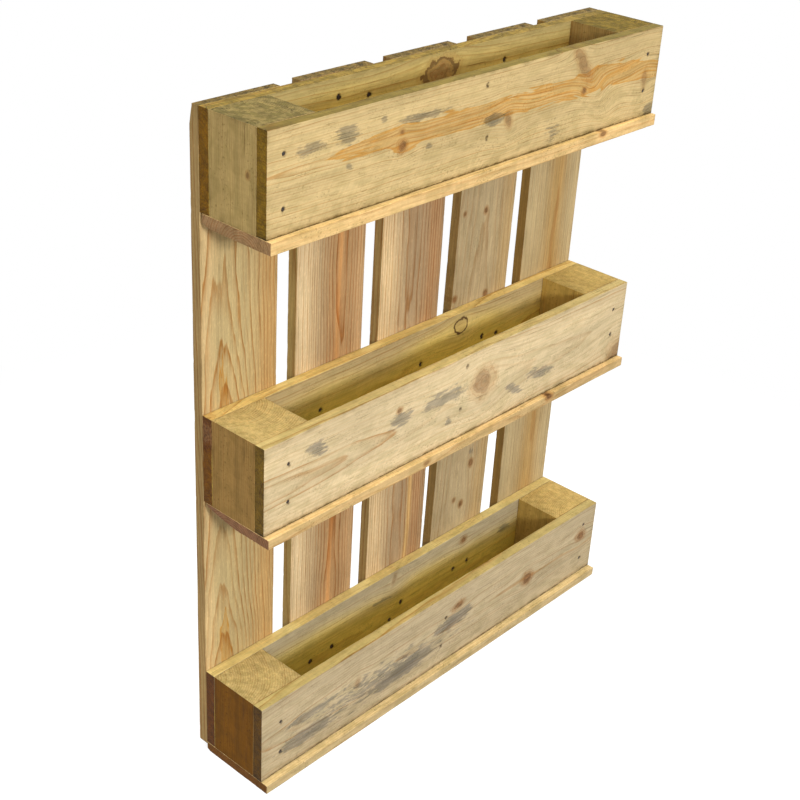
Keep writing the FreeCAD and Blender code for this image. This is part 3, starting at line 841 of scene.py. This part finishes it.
    # knots: a faint halo, a soft brown core with rings of its own and, on some, a line of bark
    uneven = add({0: fibre_noise(16.0, 9.0, 3.0), 1: 1.2, 2: knot}, **TIMES_PLUS)
    halo = add({0: uneven, 1: 2.4, 2: 1.5, 3: 0.0, 4: 0.6}, **SMOOTH)
    halo_share = add({0: halo, 1: tone}, **TIMES)
    core = add({0: uneven, 1: 1.68, 2: 1.15}, **SMOOTH)
    core_share = add({0: core, 1: tone}, **TIMES)
    core_noise = fibre_noise(11.0, 2.6, 3.0, 0.6)
    core_value = add({0: core_noise, 1: 0.35, 2: 0.65, 3: 0.55, 4: 1.5}, **EVEN)
    core_colour = add({0: pine.knot_colour, "Scale": core_value}, **SCALED)
    knot_turns = add({0: uneven, 1: 3.4}, **TIMES)
    knot_phase = add({0: knot_turns}, kind="ShaderNodeMath", operation="FRACT")
    knot_line = add({0: knot_phase}, kind="ShaderNodeValToRGB", stops=KNOT_LINE)
    ring_zone = add({0: uneven, 1: 2.2, 2: 1.8, 4: 0.8}, **SMOOTH)
    for share in (ring_zone, tone):
        knot_line = add({0: knot_line, 1: share}, **TIMES)
    bark_at = add({0: uneven, 1: 0.5}, **TIMES)
    bark = add({0: bark_at}, kind="ShaderNodeValToRGB", stops=BARK_LINE)
    bark_share = add({0: bark, 1: rim}, **TIMES)

    # cut ends are speckled with open pores, drawn 2.4 mm wide to show, and blotched over 9 mm
    end_value = 1.0
    for cell, detail, depth in ((2.4, 3.0, finish.pore), (9.0, 4.0, 1.25 * finish.pore)):
        speckle = fibre_noise(cell, cell, detail, 0.6)
        swing = add({0: speckle, 1: 0.35, 2: 0.65, 3: -depth, 4: depth}, **EVEN)
        end_value = add({0: swing, 1: end, 2: end_value}, **TIMES_PLUS)

    # grime in patches along the edges, with painted shade in it at the front boards' feet, and the
    # black bloom of iron in wet wood
    patch = fibre_noise(14.0, 7.0, 5.0, 0.65)
    patch_gain = add({0: patch, 1: 0.3, 2: 0.75, 3: 0.1, 4: 1.5}, **EVEN)
    grime_and_shade_share = add({0: soil, 1: patch_gain}, **TIMES, use_clamp=True)
    bloom = add({0: rust, 1: patch_gain}, **TIMES)
    bloom_share = add({0: bloom, 1: 0.15, 2: 1.0}, **SMOOTH)

    # the layers as they lie on each other: marks in the wood, knots over them, then dirt and, at the
    # front boards' feet, painted shade
    in_wood = (
        (late_share, pine.late_colour),
        (heart_fill, pine.heart_colour),
        (heart_dark, pine.heart_colour),
        (grey_share, pine.grey_colour),
        (speck_share, pine.speck_colour),
        (check_share, pine.speck_colour),
        (blue_share, pine.stain_colour),
        (blue_core, pine.stain_colour),
        (halo_share, pine.late_colour),
    )
    colour = tint
    for share, shade in in_wood:
        colour = add({0: share, 6: colour, 7: (*shade, 1.0)}, **DARKENED)
    for value in values:
        colour = add({0: colour, "Scale": value}, **SCALED)
    colour = add({0: core_share, 6: colour, 7: core_colour}, **MIXED)
    colour = add({0: knot_line, 6: colour, 7: (*pine.late_colour, 1.0)}, **DARKENED)
    colour = add({0: bark_share, 6: colour, 7: (*pine.bark_colour, 1.0)}, **MIXED)
    colour = add({0: colour, "Scale": end_value}, **SCALED)
    for share, shade in ((grime_and_shade_share, pine.grime_and_shade_colour), (bloom_share, pine.iron_colour)):
        colour = add({0: share, 6: colour, 7: (*shade, 1.0)}, **DARKENED)

    # late lines and fuzz stand proud of the fibres, and cut ends are rough with open pores
    height = streak
    for pattern, gain in ((late, 0.5), (fuzz, 0.8), (end_value, 2.0)):
        height = add({0: pattern, 1: gain, 2: height}, **TIMES_PLUS)
    bump = add({"Height": height, "Strength": 0.5, "Distance": 0.6 * MM}, kind="ShaderNodeBump")
    rough = add({0: streak, 3: finish.roughness + 0.12, 4: finish.roughness - 0.08}, **EVEN)
    shader = add({"Base Color": colour, "Roughness": rough, "Normal": bump, "IOR": 1.5,
                  "Specular IOR Level": 0.15}, kind="ShaderNodeBsdfPrincipled")
    add({"Surface": shader}, kind="ShaderNodeOutputMaterial")
    return material


BOARD_FINISH = Finish("pine_planed_board", late=0.85, end_late=1.0, contrast=2.6, fibre=0.05,
                      fleck=0.05, fuzz=0.10, pore=0.20, roughness=0.64)
SLAT_FINISH = Finish("pine_sawn_slat", late=1.0, end_late=1.0, contrast=0.4, fibre=0.07,
                     fleck=0.16, fuzz=0.05, pore=0.3, roughness=0.7)
PALE_SLAT_FINISH = Finish("pine_sawn_pale_slat", late=0.5, end_late=0.9, contrast=0.7, fibre=0.08,
                          fleck=0.12, fuzz=0.05, pore=0.3, roughness=0.7)
FLOOR_FINISH = Finish("pine_sawn_floor_board", late=0.45, end_late=1.0, contrast=0.8, fibre=0.06,
                      fleck=0.10, fuzz=0.06, pore=0.09, roughness=0.7)
BLOCK_FINISH = Finish("pine_crosscut_block", late=0.5, end_late=0.85, contrast=0.6, fibre=0.06,
                      fleck=0.08, fuzz=0.08, pore=0.07, roughness=0.74)


def steel_material():
    """Drawn steel wire nails, hammered and left to the weather: a dark mill skin with dull
    grey where the hammer struck, brown rust in patches of about 2 mm and pits of 0.7 mm."""
    found = bpy.data.materials.get("steel_wire_nail")
    if found is not None:
        return found
    steel = bpy.context.scene.planter_steel
    skin, rust = ((*colour, 1.0) for colour in (steel.skin_colour, steel.rust_colour))
    material = bpy.data.materials.new("steel_wire_nail")
    add = node_adder(material)
    place = add(kind="ShaderNodeTexCoord", out=3)
    patch = add({"Vector": place, "Scale": 500.0, "Detail": 5.0, "Roughness": 0.65},
                kind="ShaderNodeTexNoise")
    share = add({0: patch, 1: 0.42, 2: 0.62}, **SMOOTH)
    colour = add({0: share, 6: skin, 7: rust}, **MIXED)
    metal = add({0: share, 3: 1.0, 4: 0.1}, **EVEN)
    rough = add({0: share, 3: 0.45, 4: 0.85}, **EVEN)
    pits = add({"Vector": place, "Scale": 1400.0, "Detail": 3.0}, kind="ShaderNodeTexNoise")
    bump = add({"Height": pits, "Strength": 0.4, "Distance": 0.3 * MM}, kind="ShaderNodeBump")
    shader = add({"Base Color": colour, "Metallic": metal, "Roughness": rough, "Normal": bump},
                 kind="ShaderNodeBsdfPrincipled")
    add({"Surface": shader}, kind="ShaderNodeOutputMaterial")
    return material


# the five slats, left to right; along is height above the foot, across is from the left edge
SLATS = {
    "back_slat_1": Timber(
        face="#B59F70", rear="#BF9C66", edge="#977F50", end="#806B38",
        pith_across=36, pith_depth=40, pith_rise=-2, pith_dive=46, ring=4.6, seed=100, weather=0.12,
        exposed=0.9,
        bands=(Band(118, 22, "#BC9258", 0.7), Band(8, 14, "#D6B784", 0.6)),
        heart=(
            (0, 38, 12), (200, 38, 7), (275, 38, -14), (440, 36, -14), (460, 36, 10), (600, 36, 7),
            (690, 36, -14),
        ),
    ),
    "back_slat_2": Timber(
        face="#987F5C", rear="#BA9865", edge="#7C6235", end="#806B38",
        pith_across=84, pith_depth=30, pith_rise=5, pith_dive=-6, ring=4, seed=200, weather=0.12,
        exposed=0.9,
        bands=(
            Band(12, 34, "#DFC69A", 0.9, wander=3), Band(126, 16, "#CDA778", 0.6, wander=3),
            Band(84, 26, "#B98C5A", 0.6), Band(83, 4, "#B78850", 0.5, wander=3),
        ),
    ),
    "back_slat_3": Timber(
        face="#A78D6A", rear="#B8966A", edge="#80643A", end="#806B38",
        pith_across=70, pith_depth=40, pith_rise=-10, ring=4.2, seed=300, weather=0.12, exposed=0.9,
        bands=(
            Band(8, 36, "#D9BF92", 0.9, wander=3), Band(112, 18, "#B7895A", 0.6),
            Band(92, 5, "#CFAE70", 0.8, stop=420),
        ),
    ),
    "back_slat_4": Timber(
        face="#AF9A74", rear="#B59A6C", edge="#937440", end="#806B38",
        pith_across=60, pith_depth=22, pith_rise=6, pith_dive=36, ring=7.5, seed=400, weather=0.25,
        exposed=0.9,
        knots=(
            Knot(718, 13, 5, 4), Knot(712, 63, 6, 4.5, tone=0.85), Knot(580, 6, 6, 5, tone=0.9),
            Knot(569, 81, 6, 5), Knot(181, 73, 7, 5), Knot(196, 54, 5, 4, tone=0.6),
            Knot(255, 90, 8, 6),
        ),
        stains=(Stain(275, 87, 22, 9, strength=0.7),),
        bands=(Band(118, 20, "#BB9C69", 0.7),),
    ),
    "back_slat_5": Timber(
        face="#B5A076", rear="#B89D6E", edge="#896932", end="#806B38",
        pith_across=84, pith_depth=34, pith_rise=-8, ring=4, seed=500, weather=0.12, exposed=0.9,
        bands=(Band(78, 26, "#AC8A52", 0.85), Band(84, 7, "#A98A58", 0.5)),
    ),
}

# slats of pale sapwood, with faint late lines
PALE_SLATS = ("back_slat_4", "back_slat_5")

# front boards, from the left end and the lower edge; the end colours darken from the top tier
# down, partly end grain and partly painted shade
FRONT_BOARDS = {
    "bottom": Timber(
        face="#B5A381", rear="#B59B66", edge="#C5AF6E", end="#553904",
        pith_across=64, pith_depth=-26, pith_rise=2, pith_dive=34, ring=4.6, seed=1000, soil=0.5,
        foot=2.2,
        knots=(
            Knot(612, 63, 14, 12, tone=0.85), Knot(762, 82, 12, 10, tone=0.85),
            Knot(429, 100, 14, 7, turn=10), Knot(196, 72, 6, 9, tone=0.35),
        ),
        stains=(
            Stain(100, 72, 58, 9, strength=1.5), Stain(95, 37, 72, 16, strength=1.6),
            Stain(298, 41, 82, 17, turn=4, strength=2.3),
            Stain(418, 74, 54, 14, turn=6, strength=2), Stain(250, 52, 230, 36, strength=0.75),
        ),
        bands=(Band(64, 1.8, "#A5804F", 0.8, wander=2, start=480),),
    ),
    "middle": Timber(
        face="#CBB68E", rear="#BFA36A", edge="#D3BB79", end="#6E5417",
        pith_across=62, pith_depth=-23, pith_rise=6, pith_dive=-33, ring=5, first_year=461,
        seed=2000, soil=0.5, foot=2.6,
        knots=(
            Knot(440, 76, 24, 22, tone=0.5), Knot(255, 96, 6, 5, tone=0.7),
            Knot(800, 6, 30, 26, tone=0.5),
        ),
        stains=(
            Stain(95, 99, 26, 15, turn=-20, strength=1.2), Stain(260, 80, 32, 15, strength=1.3),
            Stain(352, 81, 56, 16, strength=1.3), Stain(518, 37, 34, 9, turn=-30, strength=1.3),
            Stain(583, 44, 40, 11, turn=-8, strength=1.5), Stain(365, 38, 8, 13, strength=1.1),
        ),
    ),
    "top": Timber(
        face="#C2AA78", rear="#BFA25F", edge="#8A7632", end="#7B5E13",
        pith_across=76, pith_depth=7, pith_rise=4, pith_dive=-4, ring=3.4, seed=3000, exposed=0.3,
        soil=0.6, foot=2.2,
        knots=(
            Knot(229, 86, 5, 4, tone=0.6), Knot(230, 67, 9, 8, tone=0.75),
            Knot(443, 59, 7, 12, turn=20, tone=0.5), Knot(604, 109, 33, 10, turn=-50, tone=0.5),
            Knot(613, 69, 6, 5, tone=0.7), Knot(767, 59, 7, 15, tone=0.4),
        ),
        stains=(
            Stain(70, 98, 28, 10, strength=1.3), Stain(132, 102, 24, 15, strength=1.5),
            Stain(268, 99, 50, 7, strength=1.5), Stain(412, 66, 22, 9, strength=2.6),
            Stain(195, 109, 8, 5, strength=1.3), Stain(135, 62, 9, 5, strength=1.2),
            Stain(280, 56, 9, 6, strength=1.2), Stain(545, 22, 26, 16, turn=-40, strength=0.8),
            Stain(790, 8, 16, 12, strength=1.4),
        ),
        heart=(
            (70, 79, -6), (115, 79, 5), (205, 80, 11), (230, 77, 20), (270, 79, 14), (450, 78, 12),
            (600, 79, 17), (660, 82, 17), (720, 78, 17), (800, 70, 13),
        ),
    ),
}

# back boards, seen from inside the troughs; each band is painted light: it brightens and yellows
# the lower inner face, which lies in the front board's shadow, as warm light bounced in the
# trough would; the end colours darken from the top tier down, partly end grain, partly painted shade
BACK_BOARDS = {
    "bottom": Timber(
        face="#B0A17F", rear="#B39865", edge="#DCC37C", end="#5D3403",
        pith_across=50, pith_depth=30, pith_dive=12, ring=4, seed=4000,
        knots=(Knot(557, 115, 9, 7), Knot(384, 119, 5, 14, turn=-16, tone=0.35)),
        stains=(Stain(670, 89, 20, 9, strength=1.5), Stain(355, 88, 30, 5, strength=1.1)),
        bands=(Band(40, 56, "#E7CA54", 1, wander=8, edge=4, rear=False),),
    ),
    "middle": Timber(
        face="#B59F70", rear="#B39865", edge="#EBCB7C", end="#6D4405",
        pith_across=70, pith_depth=40, pith_dive=-14, ring=4.2, seed=5000,
        knots=(Knot(505, 111, 14, 13, tone=0.15, rim=0.9), Knot(4, 110, 14, 20, tone=0.9)),
        bands=(Band(45, 58, "#E7C954", 1, wander=8, edge=4, rear=False),),
    ),
    "top": Timber(
        face="#AD9B65", rear="#B39865", edge="#9F8336", end="#755106",
        pith_across=60, pith_depth=36, pith_dive=10, ring=4, seed=6000, exposed=1.1, soil=0.5,
        knots=(Knot(416, 104, 32, 19, tone=0.6, rim=0.7),),
        bands=(Band(48, 60, "#DBBD54", 1, wander=6, edge=4, rear=False),),
    ),
}

# floor boards; across is from the lip's front edge, depth is from the upper face; the upper faces
# are painted lighter, more so on the higher tiers, as painted light from above, and the end colours
# darken from the top tier down, partly end grain and partly painted shade
FLOOR_BOARDS = {
    "bottom": Timber(
        face="#E2C68C", rear="#A98D5B", edge="#C3AB7C", end="#754C1A",
        pith_across=60, pith_depth=28, pith_dive=10, ring=4, seed=7000,
    ),
    "middle": Timber(
        face="#EBC88A", rear="#AE915C", edge="#C2A370", end="#8B6548",
        pith_across=70, pith_depth=34, pith_dive=-12, ring=4.2, seed=8000,
        knots=(
            Knot(600, 0, 9, 30, tone=0.9, deep=2, reach=6),
            Knot(310, 0, 7, 20, tone=0.5, deep=7, reach=4),
        ),
    ),
    "top": Timber(
        face="#F2CF8C", rear="#B2945C", edge="#D5B37A", end="#A28058",
        pith_across=50, pith_depth=30, pith_dive=8, ring=3.8, seed=9000,
        knots=(Knot(664, 0, 8, 25, tone=0.7, deep=3, reach=5),),
    ),
}

# blocks; along is height, across is from the left side, depth from the front; the left blocks'
# sides darken from the top tier down, partly the wood and partly painted shade, and the top right
# block's sides are painted darker with the shade inside the top trough
BLOCKS = {
    "bottom_left": Timber(
        face="#B79256", rear="#B79256", edge="#714805", end="#C1A96D",
        pith_across=-40, pith_depth=120, ring=3.6, seed=11000, weather=0.5,
    ),
    "bottom_right": Timber(
        face="#B79256", rear="#B79256", edge="#B99A50", end="#CAAD68",
        pith_across=60, pith_depth=-60, ring=3.2, seed=12000,
    ),
    "middle_left": Timber(
        face="#C09A5A", rear="#C09A5A", edge="#9A7841", end="#CCB373",
        pith_across=42, pith_depth=112, ring=3.4, seed=13000,
    ),
    "middle_right": Timber(
        face="#C09A5A", rear="#C09A5A", edge="#C2A152", end="#C4A861",
        pith_across=150, pith_depth=50, ring=3.4, seed=14000,
    ),
    "top_left": Timber(
        face="#CDAE78", rear="#CDAE78", edge="#B0965E", end="#8D7C47",
        pith_across=30, pith_depth=130, ring=3, seed=15000, exposed=1.1, soil=0.6,
        knots=(Knot(72, 0, 5, 16, tone=0.6, deep=15, reach=4),),
    ),
    # its sides are painted shade: darker for the shade inside the top trough
    "top_right": Timber(
        face="#C0A063", rear="#C0A063", edge="#8E7440", end="#846E25",
        pith_across=40, pith_depth=110, ring=3.2, seed=16000, exposed=1.1, soil=0.6,
    ),
}

# wane under the rear edge of the floor boards, as the CAD solids have it
WANES = {
    "bottom": Wane(left_run=8.0, right_run=6.0, rise=3.0),
    "middle": Wane(left_run=58.0, right_run=20.0, rise=11.0),
    "top": Wane(left_run=14.0, right_run=9.0, rise=5.0),
}
SLAT_BEVEL = TopBevel(depth=4.5, height=27.0)
OLD_HOLE_RADIUS = 1.7
OLD_HOLE_DEPTH = 12.0
# how much blacker than a front nail the old holes and the slat nails have made the wood
OLD_HOLE_BLOOM = 1.1
SLAT_NAIL_BLOOM = 1.8
# old nail holes in the front boards: distance right of the middle, and height in the board
OLD_HOLES = {
    "bottom": ((-8.5, 36.0), (-1.0, 89.0)),
    "middle": ((-9.0, 48.0), (-0.5, 116.0)),
    "top": ((-1.0, 43.0), (-8.5, 117.0)),
}


def length_setting(name, description, default, low, high):
    """A length for the panel, given in millimetres."""
    return FloatProperty(name=name, description=description, default=default * MM, min=low * MM,
                         max=high * MM, unit="LENGTH", precision=4)


def colour_setting(name, description, hex_colour):
    """A colour for the panel, given as sRGB hex."""
    return FloatVectorProperty(name=name, description=description, subtype="COLOR",
                               default=tuple(linear(hex_colour)), min=0.0, max=1.0)


class PineProperties(bpy.types.PropertyGroup):
    """Sizes and colours that all the pine shares."""

    lattice_step: length_setting("Lattice Step", "Spacing of the boards' mesh lines", 2.6, 1.5, 10.0)
    arris_radius: length_setting("Arris Radius", "Mean radius of the worn edges", 0.8, 0.3, 4.0)
    late_colour: colour_setting("Late Wood", "What late lines multiply the wood by", "#D0A878")
    heart_colour: colour_setting("Heartwood", "What heartwood multiplies the wood by", "#F9DFAE")
    knot_colour: colour_setting("Knot", "Colour of a knot's core", "#735130")
    bark_colour: colour_setting("Bark", "Colour of the bark round a loose knot", "#4A2E1A")
    grey_colour: colour_setting("Weathering", "What weathering multiplies the wood by", "#D3D6C6")
    speck_colour: colour_setting("Specks", "What dark specks multiply the wood by", "#9C9580")
    stain_colour: colour_setting("Blue Stain", "What blue stain multiplies the wood by", "#A4ABBE")
    # the grime colour, which also lays painted shade along the front boards' feet
    grime_and_shade_colour: colour_setting("Grime", "What grime multiplies the wood by", "#8B8268")
    iron_colour: colour_setting("Iron Mark", "What iron marks multiply the wood by", "#4A4038")


class SteelProperties(bpy.types.PropertyGroup):
    """Sizes and colours of the nails."""

    head_diameter: length_setting("Head", "Diameter of the nail heads", 4.8, 3.0, 10.0)
    shank_diameter: length_setting("Shank", "Diameter of the nails' shanks", 2.6, 1.5, 6.0)
    sink_depth: length_setting("Sink", "How far the heads sit below the wood", 1.0, 0.0, 3.0)
    skin_colour: colour_setting("Mill Skin", "Colour of the dark steel", "#4B4743")
    rust_colour: colour_setting("Rust", "Colour of the rust on the heads", "#3A2318")


class StageProperties(bpy.types.PropertyGroup):
    """Camera, floor and light."""

    camera_place: FloatVectorProperty(name="Camera", description="Where the camera stands",
                                      default=(-1.46879, -1.21933, 1.51373), subtype="XYZ",
                                      unit="LENGTH")
    heading: FloatProperty(name="Heading", description="Turn of the view to the right of straight on",
                           default=math.radians(48.8393), subtype="ANGLE")
    pitch: FloatProperty(name="Pitch", description="How far the view points down",
                         default=math.radians(28.5997), subtype="ANGLE")
    roll: FloatProperty(name="Roll", description="How far the camera leans",
                        default=math.radians(-3.4605), subtype="ANGLE")
    focal_pixels: FloatProperty(name="Focal Length", description="Focal length in image pixels",
                                default=1442.06, min=100.0)
    key_power: FloatProperty(name="Key Light", description="Power of the lamp at the front left",
                             default=98.0, min=0.0, unit="POWER")
    key_place: FloatVectorProperty(name="Key Place", description="Where the lamp stands",
                                   default=(-1.25, -3.45, 1.85), subtype="XYZ", unit="LENGTH")
    key_target: FloatVectorProperty(name="Key Target", description="Where the lamp points",
                                    default=(0.0, 0.0, 0.55), subtype="XYZ", unit="LENGTH")
    key_size: FloatProperty(name="Key Size", description="Side of the lamp's square",
                            default=0.55, min=0.05, unit="LENGTH")
    wall_light: FloatProperty(name="Wall Light", description="Soft light from the room's sides",
                              default=0.22, min=0.0)
    ceiling_light: FloatProperty(name="Ceiling Light", description="Soft light from straight above",
                                 default=1.9, min=0.0)
    floor_colour: colour_setting("Floor", "Colour of the floor that takes the shadow", "#A0A0A0")


class PLANTER_OT_slats(bpy.types.Operator):
    """Makes the five upright slats"""

    bl_idname = "planter.slats"
    bl_label = "Slats"

    def execute(self, context):
        corner = [dent for tier in TIERS for dent in nail_dents(f"{tier}_corner_nails")]
        low, high = node_box("back_slat_3")
        forms = {"back_slat_1": SLAT_BEVEL, "back_slat_4": Lean(high[0] - low[0])}
        for node, timber in SLATS.items():
            low, high = node_box(node)
            dents = [dent for dent in corner if low[0] < dent.place[0] < high[0]]
            material = pine_material(PALE_SLAT_FINISH if node in PALE_SLATS else SLAT_FINISH)
            board(node, UPRIGHT_CUT, timber, material, dents, forms.get(node))
        return {"FINISHED"}


class PLANTER_OT_back_boards(bpy.types.Operator):
    """Makes the back boards of the three troughs"""

    bl_idname = "planter.back_boards"
    bl_label = "Back Boards"

    def execute(self, context):
        material = pine_material(BOARD_FINISH)
        for tier, timber in BACK_BOARDS.items():
            dents = nail_dents(f"{tier}_slat_nails", SLAT_NAIL_BLOOM)
            board(f"{tier}_back_board", BOARD_CUT, timber, material, dents)
        return {"FINISHED"}


class PLANTER_OT_front_boards(bpy.types.Operator):
    """Makes the front boards of the three troughs, with their old nail holes"""

    bl_idname = "planter.front_boards"
    bl_label = "Front Boards"

    def execute(self, context):
        material = pine_material(BOARD_FINISH)
        for tier, timber in FRONT_BOARDS.items():
            node = f"{tier}_front_board"
            low, high = node_box(node)
            dents = nail_dents(f"{tier}_front_nails")
            for right, up in OLD_HOLES[tier]:
                place = np.array([(low[0] + high[0]) / 2.0 + right, low[1], low[2] + up])
                dents.append(Dent(place, OLD_HOLE_RADIUS, OLD_HOLE_DEPTH, 1, True, OLD_HOLE_BLOOM))
            board(node, BOARD_CUT, timber, material, dents)
        return {"FINISHED"}


class PLANTER_OT_floor_boards(bpy.types.Operator):
    """Makes the floor boards, whose front edges stand out as lips"""

    bl_idname = "planter.floor_boards"
    bl_label = "Floor Boards"

    def execute(self, context):
        material = pine_material(FLOOR_FINISH)
        for tier, timber in FLOOR_BOARDS.items():
            node = f"{tier}_floor_board"
            dents = nail_dents(f"{tier}_floor_nails")
            board(node, FLOOR_CUT, timber, material, dents, WANES[tier])
        return {"FINISHED"}


class PLANTER_OT_blocks(bpy.types.Operator):
    """Makes the blocks that close the troughs' ends"""

    bl_idname = "planter.blocks"
    bl_label = "Blocks"

    def execute(self, context):
        material = pine_material(BLOCK_FINISH)
        for place, timber in BLOCKS.items():
            board(f"{place}_block", UPRIGHT_CUT, timber, material)
        return {"FINISHED"}


class PLANTER_OT_nails(bpy.types.Operator):
    """Makes all the nails"""

    bl_idname = "planter.nails"
    bl_label = "Nails"

    def execute(self, context):
        material = steel_material()
        for tier in TIERS:
            for kind in NAIL_SIDES:
                nails(f"{tier}_{kind}", material)
        return {"FINISHED"}


class PLANTER_OT_stage(bpy.types.Operator):
    """Sets up the camera, the floor and the studio light"""

    bl_idname = "planter.stage"
    bl_label = "Stage"

    def execute(self, context):
        stage = context.scene.planter_stage
        context.scene.view_settings.view_transform = "Standard"
        place_camera(stage)
        place_lamp(stage)
        make_floor(stage)
        make_room(stage)
        return {"FINISHED"}


def place_camera(stage):
    """The camera looks along a heading and a downward pitch, then leans about that line."""
    a, b, c = stage.heading, stage.pitch, stage.roll
    ahead = Vector((math.sin(a) * math.cos(b), math.cos(a) * math.cos(b), -math.sin(b)))
    level = Vector((math.cos(a), -math.sin(a), 0.0))
    down = ahead.cross(level)
    right = math.cos(c) * level + math.sin(c) * down
    up = math.sin(c) * level - math.cos(c) * down
    turn = Matrix((right, up, -ahead)).transposed().to_4x4()
    camera = bpy.data.cameras.new("camera")
    camera.sensor_width = SENSOR_WIDTH
    camera.lens = stage.focal_pixels * SENSOR_WIDTH / IMAGE_WIDTH
    viewer = bpy.data.objects.new("camera", camera)
    viewer.matrix_world = Matrix.Translation(stage.camera_place) @ turn
    bpy.context.scene.collection.objects.link(viewer)
    bpy.context.scene.camera = viewer


def place_lamp(stage):
    """One lamp in front of the planter, to its left and above, small enough to cast a shadow."""
    place = Vector(stage.key_place)
    lamp = bpy.data.lights.new("key", "AREA")
    lamp.energy = stage.key_power
    lamp.size = stage.key_size
    holder = bpy.data.objects.new("key", lamp)
    holder.location = place
    holder.rotation_euler = (Vector(stage.key_target) - place).to_track_quat("-Z", "Y").to_euler()
    bpy.context.scene.collection.objects.link(holder)


# the floor: half its side, its mesh lines, how far it lies below the feet, the distances in metres
# from its middle between which it turns white, and the light that lifts it near the planter
FLOOR_REACH = 9000.0
FLOOR_LINES = 13
FLOOR_DROP = 0.5
FLOOR_WHITE_FROM = 0.45
FLOOR_WHITE_TO = 1.3
FLOOR_LIFT = 0.76


def seen_directly(add):
    """1 for what the camera sees straight, in a reflection or through glass, 0 for other light."""
    seen = add(kind="ShaderNodeLightPath", out="Is Camera Ray")
    for ray in ("Is Glossy Ray", "Is Transmission Ray"):
        other = add(kind="ShaderNodeLightPath", out=ray)
        seen = add({0: seen, 1: other}, **LARGER)
    return seen


def make_floor(stage):
    """A wide matt floor that takes the shadow near the planter and turns white further out."""
    even = np.linspace(-FLOOR_REACH, FLOOR_REACH, FLOOR_LINES)
    x, y = np.meshgrid(even, even, indexing="ij")
    points = np.stack([x.ravel(), y.ravel(), np.full(x.size, -FLOOR_DROP)], axis=1)
    cells = np.arange(FLOOR_LINES - 1)
    first = (cells[:, None] * FLOOR_LINES + cells).ravel()
    quads = first[:, None] + np.array([0, FLOOR_LINES, FLOOR_LINES + 1, 1])
    floor = write_mesh("floor", points, quads)
    material = bpy.data.materials.new("floor_matt_paint")
    add = node_adder(material)
    seen = seen_directly(add)
    place = add(kind="ShaderNodeTexCoord", out=3)
    away = add({0: place}, kind="ShaderNodeVectorMath", out=1, operation="LENGTH")
    far = add({0: away, 1: FLOOR_WHITE_FROM, 2: FLOOR_WHITE_TO}, **SMOOTH)
    matt = add({0: (*stage.floor_colour, 1.0)}, kind="ShaderNodeBsdfDiffuse")
    lift = add({0: WHITE, 1: FLOOR_LIFT}, kind="ShaderNodeEmission")
    near_look = add({0: matt, 1: lift}, kind="ShaderNodeAddShader")
    white = add({0: WHITE, 1: 1.0}, kind="ShaderNodeEmission")
    look = add({0: far, 1: near_look, 2: white}, kind="ShaderNodeMixShader")
    shader = add({0: seen, 1: matt, 2: look}, kind="ShaderNodeMixShader")
    add({"Surface": shader}, kind="ShaderNodeOutputMaterial")
    floor.data.materials.append(material)


def make_room(stage):
    """A white room to look at, and soft light from it that grows from the walls to the ceiling."""
    world = bpy.data.worlds.new("room")
    bpy.context.scene.world = world
    add = node_adder(world)
    seen = seen_directly(add)
    direction = add(kind="ShaderNodeTexCoord")
    up = add({0: direction}, kind="ShaderNodeSeparateXYZ", out=2)
    strength = add({0: up, 3: stage.wall_light, 4: stage.ceiling_light}, **EVEN)
    light = add({0: WHITE, 1: strength}, kind="ShaderNodeBackground")
    white = add({0: WHITE, 1: 1.0}, kind="ShaderNodeBackground")
    shader = add({0: seen, 1: light, 2: white}, kind="ShaderNodeMixShader")
    add({"Surface": shader}, kind="ShaderNodeOutputWorld")


class PLANTER_PT_panel(bpy.types.Panel):
    """Lists the planter's pieces and their settings"""

    bl_idname = "PLANTER_PT_panel"
    bl_label = "Pallet Planter"
    bl_space_type = "VIEW_3D"
    bl_region_type = "UI"
    bl_category = "Planter"

    def draw(self, context):
        for maker in OPERATORS:
            self.layout.operator(maker.bl_idname)
        for group in GROUPS:
            settings = getattr(context.scene, group)
            for key in settings.__annotations__:
                self.layout.prop(settings, key)


OPERATORS = (
    PLANTER_OT_slats,
    PLANTER_OT_back_boards,
    PLANTER_OT_front_boards,
    PLANTER_OT_floor_boards,
    PLANTER_OT_blocks,
    PLANTER_OT_nails,
    PLANTER_OT_stage,
)
GROUPS = {
    "planter_pine": PineProperties,
    "planter_steel": SteelProperties,
    "planter_stage": StageProperties,
}


def register():
    """Registers the settings, the operators and the panel."""
    for name, group in GROUPS.items():
        bpy.utils.register_class(group)
        setattr(bpy.types.Scene, name, PointerProperty(type=group))
    for maker in OPERATORS:
        bpy.utils.register_class(maker)
    bpy.utils.register_class(PLANTER_PT_panel)


def unregister():
    """Takes the panel, the operators and the settings away again."""
    bpy.utils.unregister_class(PLANTER_PT_panel)
    for maker in reversed(OPERATORS):
        bpy.utils.unregister_class(maker)
    for name, group in GROUPS.items():
        delattr(bpy.types.Scene, name)
        bpy.utils.unregister_class(group)


def main():
    """Makes all pieces in order."""
    register()
    bpy.ops.planter.slats()
    bpy.ops.planter.back_boards()
    bpy.ops.planter.front_boards()
    bpy.ops.planter.floor_boards()
    bpy.ops.planter.blocks()
    bpy.ops.planter.nails()
    bpy.ops.planter.stage()
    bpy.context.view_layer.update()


if __name__ == "__main__":
    main()
